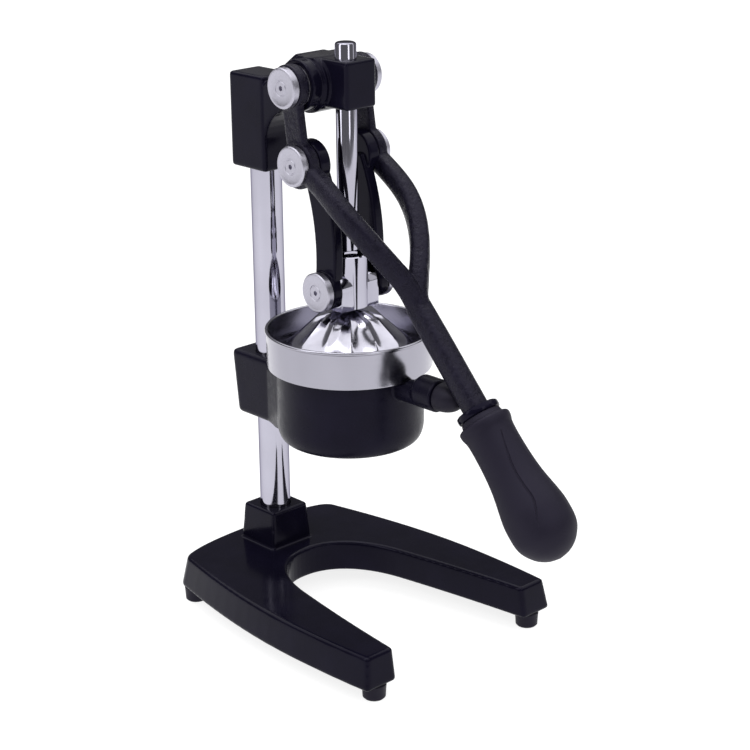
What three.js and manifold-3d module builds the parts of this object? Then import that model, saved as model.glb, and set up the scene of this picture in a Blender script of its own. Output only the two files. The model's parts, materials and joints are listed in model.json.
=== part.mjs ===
// Lever citrus juice press, in millimetres, +Z up, with its front towards -Y and its right side towards +X.
// A forked lever turns on the head and drives a vertical ram through two links. The ram carries a fluted
// bell that presses fruit onto a reamer in a steel cup, which sits in a holder clamped to the post.
// Heights count from the table. Everything is placed from the ram's axis, and the whole group is moved at
// the end so that its origin is the middle of its bounding box, on the table.

import * as THREE from "three";
import { mergeVertices } from "three/addons/utils/BufferGeometryUtils.js";
import Module from "manifold-3d";

const wasm = await Module();
wasm.setup();

// Clearances
const seatGap = 0.3; // between two pieces that sit on each other
const boreGap = 0.3; // all round a pin, bar or screw in its bore
const turnGap = 0.3; // between two pieces that turn side by side
const cutOver = 3; // how far a cut runs past the face it opens

// Base casting and feet
const footHeight = 12.5;
const footTopRadius = 9.5;
const footBottomRadius = 8.8;
const footFrontInset = 12; // from the tip's outer edge
const footFrontSetback = 5.5; // from the tips' front edge
const footRearInset = 6; // from the back corner's outer edge
const footRearSetback = 17.5; // from the back edge
const footBossRadius = 11.5;
const baseHeight = 25;
const baseWall = 5;
const baseDeck = 6;
const baseRib = 6; // thickness of the rib under the post
const baseDraft = 4; // how far the outer wall leans out at its foot
const baseFront = 118.5; // ahead of the ram axis
const baseBack = 128; // behind the ram axis
const baseHalfWidth = 99.7;
const tipInset = 3.2; // of the tips' outer edge from the widest place
const tipWidth = 26;
const tipRounding = 6;
const backInset = 19.2; // of the back corners from the widest place
const backRounding = 10;
const legWidth = 45.7; // where the opening is straight
const openingEnd = 58; // behind the ram axis
const baseWidestY = -40;
const openingStraightY = -5;

// Post and its socket
const postRadius = 12.5;
const postSetback = 94.1; // behind the ram axis
const socketHeight = 31;
const socketTopHalf = 18;
const socketFootHalf = 20.5;
const socketRounding = 6;
const socketBossRadius = 20;
const socketFloor = 8;
const socketFloorRise = 8; // above the base's lower edge
const postBoltRadius = 5;
const postBoltHeadRadius = 8.5;
const postBoltHeadHeight = 5;
const postBoltLength = 30; // in the post
const postWasherRadius = 11;
const postWasherHeight = 1.5;

// Head casting
const headHalfWidth = 15;
const headBlockFront = 77.4;
const headBlockBack = 116.9;
const headBlockHeight = 73.6;
const headBlockDrop = 23; // of the block's top below the arm's
const headRounding = 4;
const armFront = 16.9; // ahead of the ram axis
const armHeight = 36;
const armDrop = 16.2; // of the arm's underside below the head pivot
const armTopBack = 40; // where the arm's top starts to slope down to the block
const headCap = 10; // casting above the post's end

// Pivots: head to lever, lever to link, link to crosshead
const headPivotY = 22.5;
const headPivotRise = 188; // above the cup's rim
const crankLength = 58;
const crankAngle = 8.6; // degrees ahead of straight down
const linkLength = 97.8;
const pinRadius = 6;
const discRadius = 15.3;
const discThickness = 5.6;
const discSocketRadius = 2.1;
const headBossRadius = 19.5;
const headBossRootRadius = 22;
const headBossRoot = 4.5; // how far the wider root stands out
const headBossReach = 29; // from the middle plane
const washerRadius = 16;
const washerThickness = 1;
const leverEyeThickness = 8.3;
const leverTopEyeRadius = 16.8;
const leverLowEyeRadius = 18;
const crankWidth = 19;
const crankRecess = 0.9; // of the crank bar below the eyes' faces

// Lever stem and grip
const stemRootReach = 98.5; // ahead of the head pivot
const stemRootDrop = 156; // below the head pivot
const stemAngle = 47.6; // degrees below level
const stemWidth = 18;
const stemDepth = 18;
const stemLength = 88; // from the fork's root to the flange
const forkBow = 14.4; // how far the arms bow out in front
const forkWidth = 13.2;
const forkDepth = 15;
const flangeRadius = 16.8;
const flangeThickness = 6;
const tangRadius = 7.5;
const tangLength = 95;
const gripLength = 118.2;
const gripRadius = 25.1;

// Links
const linkThickness = 9.2;
const linkInner = 16.8; // inner face of the banana-shaped bar
const linkTopEyeRadius = 18;
const linkLowEyeRadius = 15;
const linkEyeInner = 19.8;
const linkWidth = 20.4;
const linkBow = 7.5;

// Ram
const rodRadius = 8;
const rodProud = 11.7; // of the rod's top above the arm
const rodInsert = 22; // depth of the rod in the crosshead
const lockNutRadius = 10;
const lockNutHeight = 3;
const crossRadius = 15;
const crossRise = 25; // top of the crosshead above its pins
const crossDrop = 16.5; // bottom of the crosshead below its pins
const crossBossRadius = 13.2;
const crossBossReach = 19.3; // from the middle plane
const crossPinInner = 10; // inner end of each crosshead pin
const bellTopRadius = 16;
const bellRadius = 57;
const bellHeight = 38.5;
const bellRim = 3;
const bellWall = 4.5; // measured straight down
const bellRoof = 9;
const bellFluteDepth = 2.6;
const bellScrewRadius = 4;
const bellScrewHeadRadius = 7;
const bellScrewHeadHeight = 3.5;
const bellScrewLength = 17;

// Juice cup, strainer and holder
const rimRadius = 65.8;
const rimTop = 245.2;
const ringFootRadius = 64.3;
const ringHeight = 30.3;
const cupWall = 1.5;
const cupWellDepth = 25.5;
const cupLipWidth = 4; // of the well's floor, which holds the funnel's flange
const funnelFlangeWidth = 3.5;
const funnelDrop = 25; // of the cone, from its flange to the spout
const spoutRadius = 16;
const spoutLength = 14.7;
const strainerWall = 1.5;
const reamerRadius = 46;
const reamerHeight = 30;
const reamerTipRadius = 8;
const slotWidth = 3;
const slotInner = 18;
const slotOuter = 41;
const holderRadius = 57.7;
const holderFootRadius = 51.5;
const holderWall = 4.5;
const holderDepth = 59;
const holderRounding = 14;
const outletRadius = 24;
const clampHalfWidth = 19;
const clampBack = 26.5; // behind the post's axis at the top
const clampTaper = 6; // how much nearer the clamp's back is at its foot
const clampDrop = 12.6; // of the clamp's top below the bowl's
const clampHeight = 51.5;
const webHalfWidth = 18.6;
const webFlare = 19; // how much wider the web is where it meets the bowl

// Lever rest and its bumper
const restRadius = 12.5;
const restRise = -1.8; // of the rest's axis above the bowl's top
const restHeadLength = 18.5; // of the rest's thick end
const restShoulder = 3.5; // length of the cone behind that end
const restNeckRadius = 9;
const restNeckDrop = 3.8; // of the neck's axis below the rest's
const restStandoff = 23.4; // of the rest's end from the stem
const bumperCollar = 1.5; // straight part of the bumper
const bumperSpigotRadius = 4;
const bumperSpigotLength = 8;

// Screws that hold the castings on the post
const setScrewRadius = 4;
const setScrewSocketRadius = 2;
const headScrewRises = { lower: 21.6, upper: 51.6 }; // above the head block's foot
const holderScrewRise = 27.5; // above the clamp's foot
const footScrewRadius = 2.5;
const footScrewHeadRadius = 5;
const footScrewHeadHeight = 3;
const footScrewRecess = 3; // of the head above the foot's sole
const footScrewBite = 10; // in the base's boss

// Numbers of facets
const fine = 36;
const medium = 20;
const coarse = 12;
const bellFlutes = 12;
const reamerSlots = 12;

// Places worked out from the sizes above
const degrees = THREE.MathUtils.degToRad;
const tipHalfWidth = baseHalfWidth - tipInset;
const tipInnerX = tipHalfWidth - tipWidth;
const backHalfWidth = baseHalfWidth - backInset;
const openingHalfWidth = baseHalfWidth - legWidth;
const footFrontX = tipHalfWidth - footFrontInset;
const footRearX = backHalfWidth - footRearInset;
const baseTop = footHeight + baseHeight;
const socketTop = baseTop + socketHeight;
const floorBottom = footHeight + socketFloorRise;
const floorTop = floorBottom + socketFloor;
const postBottom = floorTop + seatGap;
const headPivotZ = rimTop + headPivotRise;
const armBottom = headPivotZ - armDrop;
const armTop = armBottom + armHeight;
const rodTop = armTop + rodProud;
const headBlockTop = armTop - headBlockDrop;
const headBlockBottom = headBlockTop - headBlockHeight;
const headScrewHeights = {
  lower: headBlockBottom + headScrewRises.lower,
  upper: headBlockBottom + headScrewRises.upper,
};
const postTop = headBlockTop - headCap;
const headPivot = new THREE.Vector2(headPivotY, headPivotZ);
const crankSin = Math.sin(degrees(crankAngle));
const crankCos = Math.cos(degrees(crankAngle));
const leverPivot = new THREE.Vector2(-crankSin, -crankCos).multiplyScalar(crankLength).add(headPivot);
const linkRise = Math.sqrt(linkLength ** 2 - leverPivot.x ** 2);
const crossPivot = new THREE.Vector2(0, leverPivot.y - linkRise);
const washerInner = headBossReach + seatGap;
const leverInner = washerInner + washerThickness + seatGap;
const leverOuter = leverInner + leverEyeThickness;
const discInner = leverOuter + seatGap;
const eyeMiddle = (leverInner + leverOuter) / 2;
const linkEyeOuter = leverInner - 2 * turnGap;
const linkOuter = linkInner + linkThickness;
const linkLowOuter = crossBossReach + turnGap + linkThickness;
const crossTop = crossPivot.y + crossRise;
const crossBottom = crossPivot.y - crossDrop;
const rodBottom = crossTop - rodInsert;
const bellTop = crossBottom - seatGap;
const bellBottom = bellTop - bellHeight - bellRim;
const ringFoot = rimTop - ringHeight;
const holderTop = ringFoot - seatGap;
const holderBottom = holderTop - holderDepth;
const strainerBottom = ringFoot + cupWall + seatGap;
const strainerTop = strainerBottom + strainerWall;
const clampTop = holderTop - clampDrop;
const clampBottom = clampTop - clampHeight;
const restZ = holderTop + restRise;
const clampBackY = postSetback + clampBack;
const postAxis = [0, postSetback, 0];
const clampSlope = clampTaper / clampHeight;
const holderScrewHeight = clampBottom + holderScrewRise;
const holderScrewBack = clampBackY - clampSlope * (clampTop - holderScrewHeight);
const stemRoot = new THREE.Vector3(0, headPivotY - stemRootReach, headPivotZ - stemRootDrop);
const stemAlong = new THREE.Vector3(0, -Math.cos(degrees(stemAngle)), -Math.sin(degrees(stemAngle)));
const stemAcross = new THREE.Vector3(1, 0, 0);
const stemUp = new THREE.Vector3().crossVectors(stemAlong, stemAcross);
const stemReachAtRest = ((stemRoot.z - restZ) * stemAlong.y) / stemAlong.z - stemRoot.y;
const restReach = stemReachAtRest + stemDepth / 2 / stemAlong.z - restStandoff;
const restHeadBack = restReach - restHeadLength;
const sides = { left: -1, right: 1 };

// Solids: closed meshes that can be joined and cut

function solid(geometry) {
  const plain = new THREE.BufferGeometry();
  plain.setAttribute("position", geometry.getAttribute("position"));
  plain.setIndex(geometry.getIndex());
  const merged = mergeVertices(plain, 1e-4);
  const corners = merged.getIndex().array;
  const faces = [];
  for (let i = 0; i < corners.length; i += 3) {
    const [a, b, c] = [corners[i], corners[i + 1], corners[i + 2]];
    if (a !== b && b !== c && c !== a) faces.push(a, b, c);
  }
  const made = manifold(merged.getAttribute("position").array, faces);
  if (made.volume() > 0) return made;
  return manifold(merged.getAttribute("position").array, faces.reverse());
}

function manifold(vertices, faces) {
  const mesh = { numProp: 3, vertProperties: vertices, triVerts: new Uint32Array(faces) };
  return new wasm.Manifold(new wasm.Mesh(mesh));
}

function geometryOf(body) {
  const { vertProperties, triVerts } = body.getMesh();
  const geometry = new THREE.BufferGeometry();
  geometry.setAttribute("position", new THREE.BufferAttribute(vertProperties, 3));
  geometry.setIndex(new THREE.BufferAttribute(triVerts, 1));
  geometry.computeVertexNormals();
  return geometry;
}

function join(...bodies) {
  return bodies.reduce((whole, body) => whole.add(body));
}

function cut(body, ...tools) {
  return tools.reduce((rest, tool) => rest.subtract(tool), body);
}

// A round bar along x, y or z, from one station to another, about a line through the point `through`.
function bar(axis, radius, from, to, through, steps = medium, endRadius = radius) {
  const geometry = new THREE.CylinderGeometry(endRadius, radius, Math.abs(to - from), steps);
  geometry.translate(0, (from + to) / 2, 0);
  if (axis === "x") geometry.rotateZ(-Math.PI / 2);
  if (axis === "z") geometry.rotateX(Math.PI / 2);
  geometry.translate(...through);
  return solid(geometry);
}

// A box between two opposite corners.
function box(from, to) {
  const geometry = new THREE.BoxGeometry(...to.map((value, i) => Math.abs(value - from[i])));
  geometry.translate(...to.map((value, i) => (value + from[i]) / 2));
  return solid(geometry);
}

// A profile of [radius, height] points turned about the vertical line through the point `through`.
function turned(profile, through = [0, 0, 0], steps = fine) {
  const points = profile.map(([radius, height]) => new THREE.Vector2(radius, height));
  const geometry = new THREE.LatheGeometry(points, steps);
  geometry.rotateX(Math.PI / 2);
  geometry.translate(...through);
  return solid(geometry);
}

// The ring-shaped body whose closed section is `profile`.
function turnedRing(profile, through, steps) {
  return turned([...profile, profile[0]], through, steps);
}

// A plan outline (x, y) raised from one height to another.
function raised(shape, from, to, steps = 6) {
  const depth = to - from;
  const geometry = new THREE.ExtrudeGeometry(shape, { depth, bevelEnabled: false, curveSegments: steps });
  geometry.translate(0, 0, from);
  return solid(geometry);
}

// A side outline (y, z) carried across x from one station to another.
function carried(shape, from, to, steps = 6) {
  const start = Math.min(from, to);
  const depth = Math.abs(to - from);
  const geometry = new THREE.ExtrudeGeometry(shape, { depth, bevelEnabled: false, curveSegments: steps });
  geometry.translate(0, 0, start);
  const turn = new THREE.Matrix4().makeBasis(
    new THREE.Vector3(0, 1, 0),
    new THREE.Vector3(0, 0, 1),
    new THREE.Vector3(1, 0, 0),
  );
  geometry.applyMatrix4(turn);
  return solid(geometry);
}

// A skin through loops of the same number of points, closed at both ends. `flat` is the loops' outline.
function loft(loops, flat) {
  const count = flat.length;
  const positions = loops.flat().flatMap((point) => [point.x, point.y, point.z]);
  const index = [];
  for (let k = 0; k + 1 < loops.length; k += 1) {
    for (let i = 0; i < count; i += 1) {
      const a = k * count + i;
      const b = k * count + ((i + 1) % count);
      index.push(a, b, b + count, a, b + count, a + count);
    }
  }
  const last = (loops.length - 1) * count;
  for (const [a, b, c] of THREE.ShapeUtils.triangulateShape(flat, [])) {
    index.push(c, b, a, last + a, last + b, last + c);
  }
  const geometry = new THREE.BufferGeometry();
  geometry.setAttribute("position", new THREE.Float32BufferAttribute(positions, 3));
  geometry.setIndex(index);
  return solid(geometry);
}

function dropRepeats(points) {
  return points.filter((point, i) => i === 0 || point.distanceTo(points[i - 1]) > 1e-6);
}

// An anticlockwise outline from its right half, which runs from the middle plane round to it again.
function mirrored(half) {
  const points = dropRepeats(half.getPoints(6));
  const other = points.slice(1, -1).reverse();
  const outline = [...points, ...other.map((point) => new THREE.Vector2(-point.x, point.y))];
  return THREE.ShapeUtils.isClockWise(outline) ? outline.reverse() : outline;
}

function atHeight(outline, height) {
  return outline.map((point) => new THREE.Vector3(point.x, point.y, height));
}

// A rectangle with rounded corners, by its half sizes.
function roundedBox(halfX, halfY, rounding) {
  const shape = new THREE.Shape();
  shape.moveTo(halfX, rounding - halfY);
  shape.lineTo(halfX, halfY - rounding);
  shape.absarc(halfX - rounding, halfY - rounding, rounding, 0, Math.PI / 2);
  shape.absarc(rounding - halfX, halfY - rounding, rounding, Math.PI / 2, Math.PI);
  shape.absarc(rounding - halfX, rounding - halfY, rounding, Math.PI, 1.5 * Math.PI);
  shape.absarc(halfX - rounding, rounding - halfY, rounding, 1.5 * Math.PI, 2 * Math.PI);
  return shape;
}

// An oval section with squarish corners for the lever, as points one unit wide and deep each way.
function leverSection() {
  const count = 12;
  const cornerShare = 0.62;
  return Array.from({ length: count }, (_, i) => {
    const turn = (2 * Math.PI * (i + 0.5)) / count;
    const across = Math.sign(Math.cos(turn)) * Math.abs(Math.cos(turn)) ** cornerShare;
    const up = Math.sign(Math.sin(turn)) * Math.abs(Math.sin(turn)) ** cornerShare;
    return new THREE.Vector2(across, up);
  });
}

// Materials
const blackEnamel = new THREE.MeshStandardMaterial({ color: 0x1d1b22, roughness: 0.3, metalness: 0.2 });
const castBlack = new THREE.MeshStandardMaterial({ color: 0x222026, roughness: 0.6, metalness: 0.2 });
const chrome = new THREE.MeshStandardMaterial({ color: 0xd8d6de, roughness: 0.12, metalness: 1 });
const satinSteel = new THREE.MeshStandardMaterial({ color: 0xc9c6d2, roughness: 0.35, metalness: 1 });
const polishedSteel = new THREE.MeshStandardMaterial({ color: 0xcfccd6, roughness: 0.2, metalness: 1 });
const zincSteel = new THREE.MeshStandardMaterial({ color: 0xa9a8ad, roughness: 0.45, metalness: 1 });
const gripRubber = new THREE.MeshStandardMaterial({ color: 0x332f38, roughness: 0.85, metalness: 0 });
const blackRubber = new THREE.MeshStandardMaterial({ color: 0x17161a, roughness: 0.8, metalness: 0 });

const press = new THREE.Group();

function piece(name, body, material) {
  const mesh = new THREE.Mesh(geometryOf(body), material);
  mesh.name = name;
  press.add(mesh);
}

// The base's U-shaped plan. `out` moves its outer edge outwards and `inn` widens the opening.
function basePlan(out, inn) {
  const backShare = 0.6; // of the half width, where the back edge turns forwards
  const cornerShares = { back: 0.85, side: 0.1, turn: 1.2 }; // of the corner's rounding
  const sideShare = 0.6;
  const tipShare = 0.3;
  const endShares = { side: 0.87, depth: 0.69, middle: 0.46 };
  const front = -baseFront - out;
  const tipX = tipHalfWidth + out;
  const innerX = tipInnerX - inn;
  const backX = backHalfWidth + out;
  const backY = baseBack + out;
  const cornerY = backY - backRounding * 2;
  const turnX = backX - backRounding * cornerShares.side;
  const turnY = backY - backRounding * cornerShares.turn;
  const sideX = baseHalfWidth + out;
  const half = new THREE.Path();
  half.moveTo(0, backY);
  const backTurnY = backY - backRounding * cornerShares.back;
  half.quadraticCurveTo(backX * backShare, backY, backX - backRounding, backTurnY);
  half.quadraticCurveTo(turnX, turnY, backX, cornerY);
  half.quadraticCurveTo(sideX, baseWidestY + cornerY * sideShare, sideX, baseWidestY);
  half.quadraticCurveTo(sideX, (front + baseWidestY) / 2, tipX, front + tipRounding);
  half.quadraticCurveTo(tipX, front, tipX - tipRounding, front);
  half.lineTo(innerX + tipRounding, front);
  half.quadraticCurveTo(innerX, front, innerX, front + tipRounding);
  const straightX = openingHalfWidth - inn;
  const end = openingEnd - inn;
  const bendX = (innerX + straightX) / 2 + tipRounding * tipShare;
  half.quadraticCurveTo(bendX, front / 2, straightX, openingStraightY);
  const deepY = end * endShares.depth;
  half.bezierCurveTo(straightX * endShares.side, deepY, straightX * endShares.middle, end, 0, end);
  return mirrored(half);
}

const feet = {
  front_left: [-footFrontX, footFrontSetback - baseFront],
  front_right: [footFrontX, footFrontSetback - baseFront],
  rear_left: [-footRearX, baseBack - footRearSetback],
  rear_right: [footRearX, baseBack - footRearSetback],
};

function baseCasting() {
  const top = basePlan(0, 0);
  const foot = basePlan(baseDraft, 0);
  const outside = loft([atHeight(foot, footHeight), atHeight(top, baseTop)], top);
  const pocket = basePlan(-baseWall, -baseWall);
  const pocketTop = baseTop - baseDeck;
  const inDeck = baseTop - baseDeck / 2;
  const hollow = loft([atHeight(pocket, footHeight - cutOver), atHeight(pocket, pocketTop)], pocket);
  const holeTop = footScrewTop() + seatGap;
  let body = cut(outside, hollow);
  for (const [x, y] of Object.values(feet)) {
    body = join(body, bar("z", footBossRadius, footHeight, inDeck, [x, y, 0]).intersect(outside));
    body = cut(body, bar("z", footScrewRadius + boreGap, footHeight - cutOver, holeTop, [x, y, 0], coarse));
  }
  const square = (half) => dropRepeats(roundedBox(half, half, socketRounding).getPoints(5)).slice(0, -1);
  const moved = (points, height) => points.map((p) => new THREE.Vector3(p.x, p.y + postSetback, height));
  const foundation = square(socketFootHalf);
  body = join(body, loft([moved(foundation, inDeck), moved(square(socketTopHalf), socketTop)], foundation));
  body = join(body, bar("z", socketBossRadius, floorBottom, inDeck, postAxis));
  const [ribFront, ribBack] = [postSetback - baseRib / 2, postSetback + baseRib / 2];
  const rib = box([-baseHalfWidth, ribFront, footHeight], [baseHalfWidth, ribBack, inDeck]);
  body = join(body, rib.intersect(outside));
  body = cut(body, bar("z", postRadius + boreGap, floorTop, socketTop + cutOver, postAxis, fine));
  const boltSpace = bar("z", socketBossRadius - baseWall, footHeight - cutOver, floorBottom, postAxis);
  return cut(body, bar("z", postBoltRadius + boreGap, floorBottom, floorTop + cutOver, postAxis), boltSpace);
}

function footScrewTop() {
  return footHeight + footScrewBite;
}

function rubberFoot([x, y]) {
  const top = footHeight - seatGap;
  const headRadius = footScrewHeadRadius + boreGap;
  const shankRadius = footScrewRadius + boreGap;
  const shoulder = footScrewRecess + footScrewHeadHeight + seatGap;
  return turnedRing(
    [
      [headRadius, 0],
      [footBottomRadius, 0],
      [footTopRadius, top],
      [shankRadius, top],
      [shankRadius, shoulder],
      [headRadius, shoulder],
    ],
    [x, y, 0],
    coarse,
  );
}

function footScrew([x, y]) {
  const headTop = footScrewRecess + footScrewHeadHeight;
  return join(
    bar("z", footScrewHeadRadius, footScrewRecess, headTop, [x, y, 0], coarse),
    bar("z", footScrewRadius, footScrewRecess, footScrewTop(), [x, y, 0], coarse),
  );
}

function post() {
  const bore = bar("z", postBoltRadius + boreGap, postBottom - cutOver, postBoltTop() + seatGap, postAxis);
  return cut(bar("z", postRadius, postBottom, postTop, postAxis, fine), bore);
}

function postBoltTop() {
  return postBottom + postBoltLength;
}

function postBolt() {
  const headTop = floorBottom - postWasherHeight - 2 * seatGap;
  return join(
    bar("z", postBoltHeadRadius, headTop - postBoltHeadHeight, headTop, postAxis, 6),
    bar("z", postBoltRadius, headTop - postBoltHeadHeight / 2, postBoltTop(), postAxis, coarse),
  );
}

function flatWasher(axis, inner, outer, from, to, through) {
  return cut(bar(axis, outer, from, to, through), bar(axis, inner, from - cutOver, to + cutOver, through));
}

function postBoltWasher() {
  const top = floorBottom - seatGap;
  return flatWasher("z", postBoltRadius + boreGap, postWasherRadius, top - postWasherHeight, top, postAxis);
}

function headCasting() {
  const blockDepth = headBlockBack - headBlockFront;
  const blockMiddle = (headBlockBack + headBlockFront) / 2;
  const plan = roundedBox(headHalfWidth, blockDepth / 2, headRounding);
  const block = raised(plan, headBlockBottom, headBlockTop, 4);
  let body = join(block.translate([0, blockMiddle, 0]), carried(armOutline(), -headHalfWidth, headHalfWidth));
  const pivot = [0, headPivot.x, headPivot.y];
  body = join(body, bar("x", headBossRadius, -headBossReach, headBossReach, pivot, fine));
  const root = headHalfWidth + headBossRoot;
  body = join(body, bar("x", headBossRootRadius, -root, root, pivot, fine));
  body = cut(body, box([-root - cutOver, -headBlockFront, armTop], [root + cutOver, headBlockFront, rodTop]));
  body = cut(body, bar("z", rodRadius + boreGap, armBottom - cutOver, armTop + cutOver, [0, 0, 0]));
  const postEnd = postTop + seatGap;
  body = cut(body, bar("z", postRadius + boreGap, headBlockBottom - cutOver, postEnd, postAxis, fine));
  for (const side of Object.values(sides)) {
    const reach = side * (headBossReach + cutOver);
    body = cut(body, spanX(pinRadius + boreGap, side * (pinInner() - seatGap), reach, pivot));
  }
  for (const height of Object.values(headScrewHeights)) body = cut(body, setScrewHole(headBlockBack, height));
  return body;
}

// The arm seen from the side: level on top, sloping to the block behind, with a curved underside.
function armOutline() {
  const underShare = 0.3; // of the slope, where the underside turns down
  const shape = new THREE.Shape();
  const inBlock = headBlockFront + headRounding * 2;
  const slope = headBlockFront - armTopBack;
  const foot = armBottom - slope;
  shape.moveTo(-armFront, armBottom);
  shape.lineTo(headPivotY, armBottom);
  const turnZ = armBottom - slope * underShare;
  shape.bezierCurveTo(armTopBack, armBottom, headBlockFront, turnZ, headBlockFront, foot);
  shape.lineTo(inBlock, foot);
  shape.lineTo(inBlock, headBlockTop - headRounding);
  shape.lineTo(headBlockFront, headBlockTop - headRounding);
  shape.lineTo(armTopBack, armTop);
  shape.lineTo(-armFront, armTop);
  return shape;
}

function pinInner() {
  return headHalfWidth - crankRecess - discThickness / 2;
}

function spanX(radius, from, to, through, steps = medium) {
  return bar("x", radius, Math.min(from, to), Math.max(from, to), through, steps);
}

function setScrewHole(back, height) {
  return bar("y", setScrewRadius + boreGap, postSetback, back + cutOver, [0, 0, height], coarse);
}

// A grub screw from the post's surface to just inside the casting's back face.
function setScrew(back, height) {
  const tip = postSetback + postRadius + seatGap;
  const socket = bar("y", setScrewSocketRadius, back - setScrewRadius, back + cutOver, [0, 0, height], 6);
  return cut(bar("y", setScrewRadius, tip, back - seatGap, [0, 0, height], coarse), socket);
}

// A disc-headed pin on one side, from its inner end to the disc's outer face.
function discPin(side, inner, discFace, pivot) {
  const through = [0, pivot.x, pivot.y];
  const outer = discFace + discThickness;
  const inDisc = outer - discThickness / 2;
  const body = join(
    spanX(pinRadius, side * inner, side * inDisc, through),
    spanX(discRadius, side * discFace, side * outer, through, fine),
  );
  return cut(body, spanX(discSocketRadius, side * inDisc, side * (outer + cutOver), through, 6));
}

function pivotWasher(side) {
  const from = Math.min(side * washerInner, side * (washerInner + washerThickness));
  const through = [0, headPivot.x, headPivot.y];
  return flatWasher("x", pinRadius + boreGap, washerRadius, from, from + washerThickness, through);
}

// Where the fork's arm runs: t = 0 at the lever's lower eye, t = 1 where both arms meet in the stem.
function forkPoint(side, t) {
  const start = new THREE.Vector3(0, leverPivot.x, leverPivot.y);
  const along = stemRoot.clone().sub(start);
  const up = new THREE.Vector3(0, along.z, -along.y).normalize();
  const straightShare = 0.29;
  const meetShare = 0.98;
  const closing = THREE.MathUtils.clamp((t - straightShare) / (meetShare - straightShare), 0, 1);
  const point = start.addScaledVector(along, t).addScaledVector(up, 4 * forkBow * t * (1 - t));
  point.x = side * eyeMiddle * Math.cos((closing * Math.PI) / 2);
  return point;
}

function forkArm(side) {
  const lastShare = 0.84;
  const endShare = 0.8; // of the stem's section, so that each arm ends inside it
  const count = 9;
  const points = Array.from({ length: count }, (_, i) => forkPoint(side, (lastShare * i) / (count - 1)));
  points.push(stemRoot, stemRoot.clone().addScaledVector(stemAlong, stemDepth));
  const path = new THREE.CatmullRomCurve3(points, false, "centripetal");
  const section = leverSection();
  const steps = 14;
  const loops = [];
  for (let k = 0; k <= steps; k += 1) {
    const share = k / steps;
    const centre = path.getPointAt(share);
    const tangent = path.getTangentAt(share);
    const across = stemAcross.clone().addScaledVector(tangent, -tangent.x).normalize();
    const up = new THREE.Vector3().crossVectors(tangent, across);
    const halfWidth = THREE.MathUtils.lerp(forkWidth, stemWidth * endShare, share ** 3) / 2;
    const halfDepth = THREE.MathUtils.lerp(forkDepth, stemDepth * endShare, share) / 2;
    loops.push(section.map((p) => onFrame(centre, across, up, p.x * halfWidth, p.y * halfDepth)));
  }
  return loft(loops, section);
}

function onFrame(centre, across, up, x, y) {
  return centre.clone().addScaledVector(across, x).addScaledVector(up, y);
}

// Turns a body made upright about +Z into the stem's direction, starting at the fork's root.
function onStem(geometry) {
  geometry.applyMatrix4(new THREE.Matrix4().makeBasis(stemAcross, stemUp, stemAlong));
  geometry.translate(stemRoot.x, stemRoot.y, stemRoot.z);
  return solid(geometry);
}

function turnedOnStem(profile) {
  const points = profile.map(([radius, along]) => new THREE.Vector2(radius, along));
  const geometry = new THREE.LatheGeometry(points, medium);
  geometry.rotateX(Math.PI / 2);
  return onStem(geometry);
}

function stem() {
  const section = leverSection();
  const loops = [0, stemLength + flangeThickness / 2].map((along) => {
    const centre = stemRoot.clone().addScaledVector(stemAlong, along);
    const [halfWidth, halfDepth] = [stemWidth / 2, stemDepth / 2];
    return section.map((p) => onFrame(centre, stemAcross, stemUp, p.x * halfWidth, p.y * halfDepth));
  });
  return loft(loops, section);
}

function crank(side) {
  const inner = side * (leverInner + crankRecess);
  const outer = side * (leverOuter - crankRecess);
  const half = crankWidth / 2;
  const across = new THREE.Vector2(crankCos, -crankSin).multiplyScalar(half);
  const corners = [
    headPivot.clone().add(across),
    headPivot.clone().sub(across),
    leverPivot.clone().sub(across),
    leverPivot.clone().add(across),
  ];
  return carried(new THREE.Shape(corners), inner, outer);
}

function leverFork() {
  const flangeEnd = stemLength + flangeThickness;
  const flangeEdgeShare = 0.2;
  const flangeEdge = flangeThickness * flangeEdgeShare;
  let body = join(
    stem(),
    turnedOnStem([
      [0, stemLength],
      [flangeRadius - flangeEdge, stemLength],
      [flangeRadius, stemLength + flangeEdge],
      [flangeRadius, flangeEnd - flangeEdge],
      [flangeRadius - flangeEdge, flangeEnd],
      [tangRadius, flangeEnd],
      [tangRadius, flangeEnd + tangLength],
      [0, flangeEnd + tangLength],
    ]),
  );
  for (const side of Object.values(sides)) {
    const low = [0, leverPivot.x, leverPivot.y];
    const top = [0, headPivot.x, headPivot.y];
    const [inner, outer] = [side * leverInner, side * leverOuter];
    const aside = side * forkWidth;
    body = join(body, crank(side), forkArm(side), spanX(leverLowEyeRadius, inner, outer, low, fine));
    body = join(body, spanX(leverTopEyeRadius, inner, outer, top, fine));
    body = cut(body, spanX(discRadius + turnGap, outer, outer + aside, low, fine));
    body = cut(body, spanX(linkTopEyeRadius + turnGap, inner - aside, inner, low, fine));
    for (const through of [low, top]) {
      body = cut(body, spanX(pinRadius + boreGap, inner - side * cutOver, outer + side * cutOver, through));
    }
  }
  return body;
}

function handleGrip() {
  const start = stemLength + flangeThickness + seatGap;
  const outlineShares = [
    [0, 0.62],
    [0.03, 0.66],
    [0.042, 0.79],
    [0.065, 0.81],
    [0.09, 0.79],
    [0.12, 0.75],
    [0.2, 0.735],
    [0.34, 0.755],
    [0.47, 0.815],
    [0.61, 0.94],
    [0.68, 0.99],
    [0.75, 1],
    [0.81, 0.985],
    [0.86, 0.925],
    [0.905, 0.8],
    [0.95, 0.61],
    [0.985, 0.33],
    [1, 0],
  ];
  const bore = tangRadius + boreGap;
  const boreEnd = stemLength + flangeThickness + tangLength + seatGap;
  const outline = outlineShares.map(([along, out]) => [gripRadius * out, start + gripLength * along]);
  return turnedOnStem([[bore, start], ...outline, [0, boreEnd], [bore, boreEnd], [bore, start]]);
}

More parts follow.
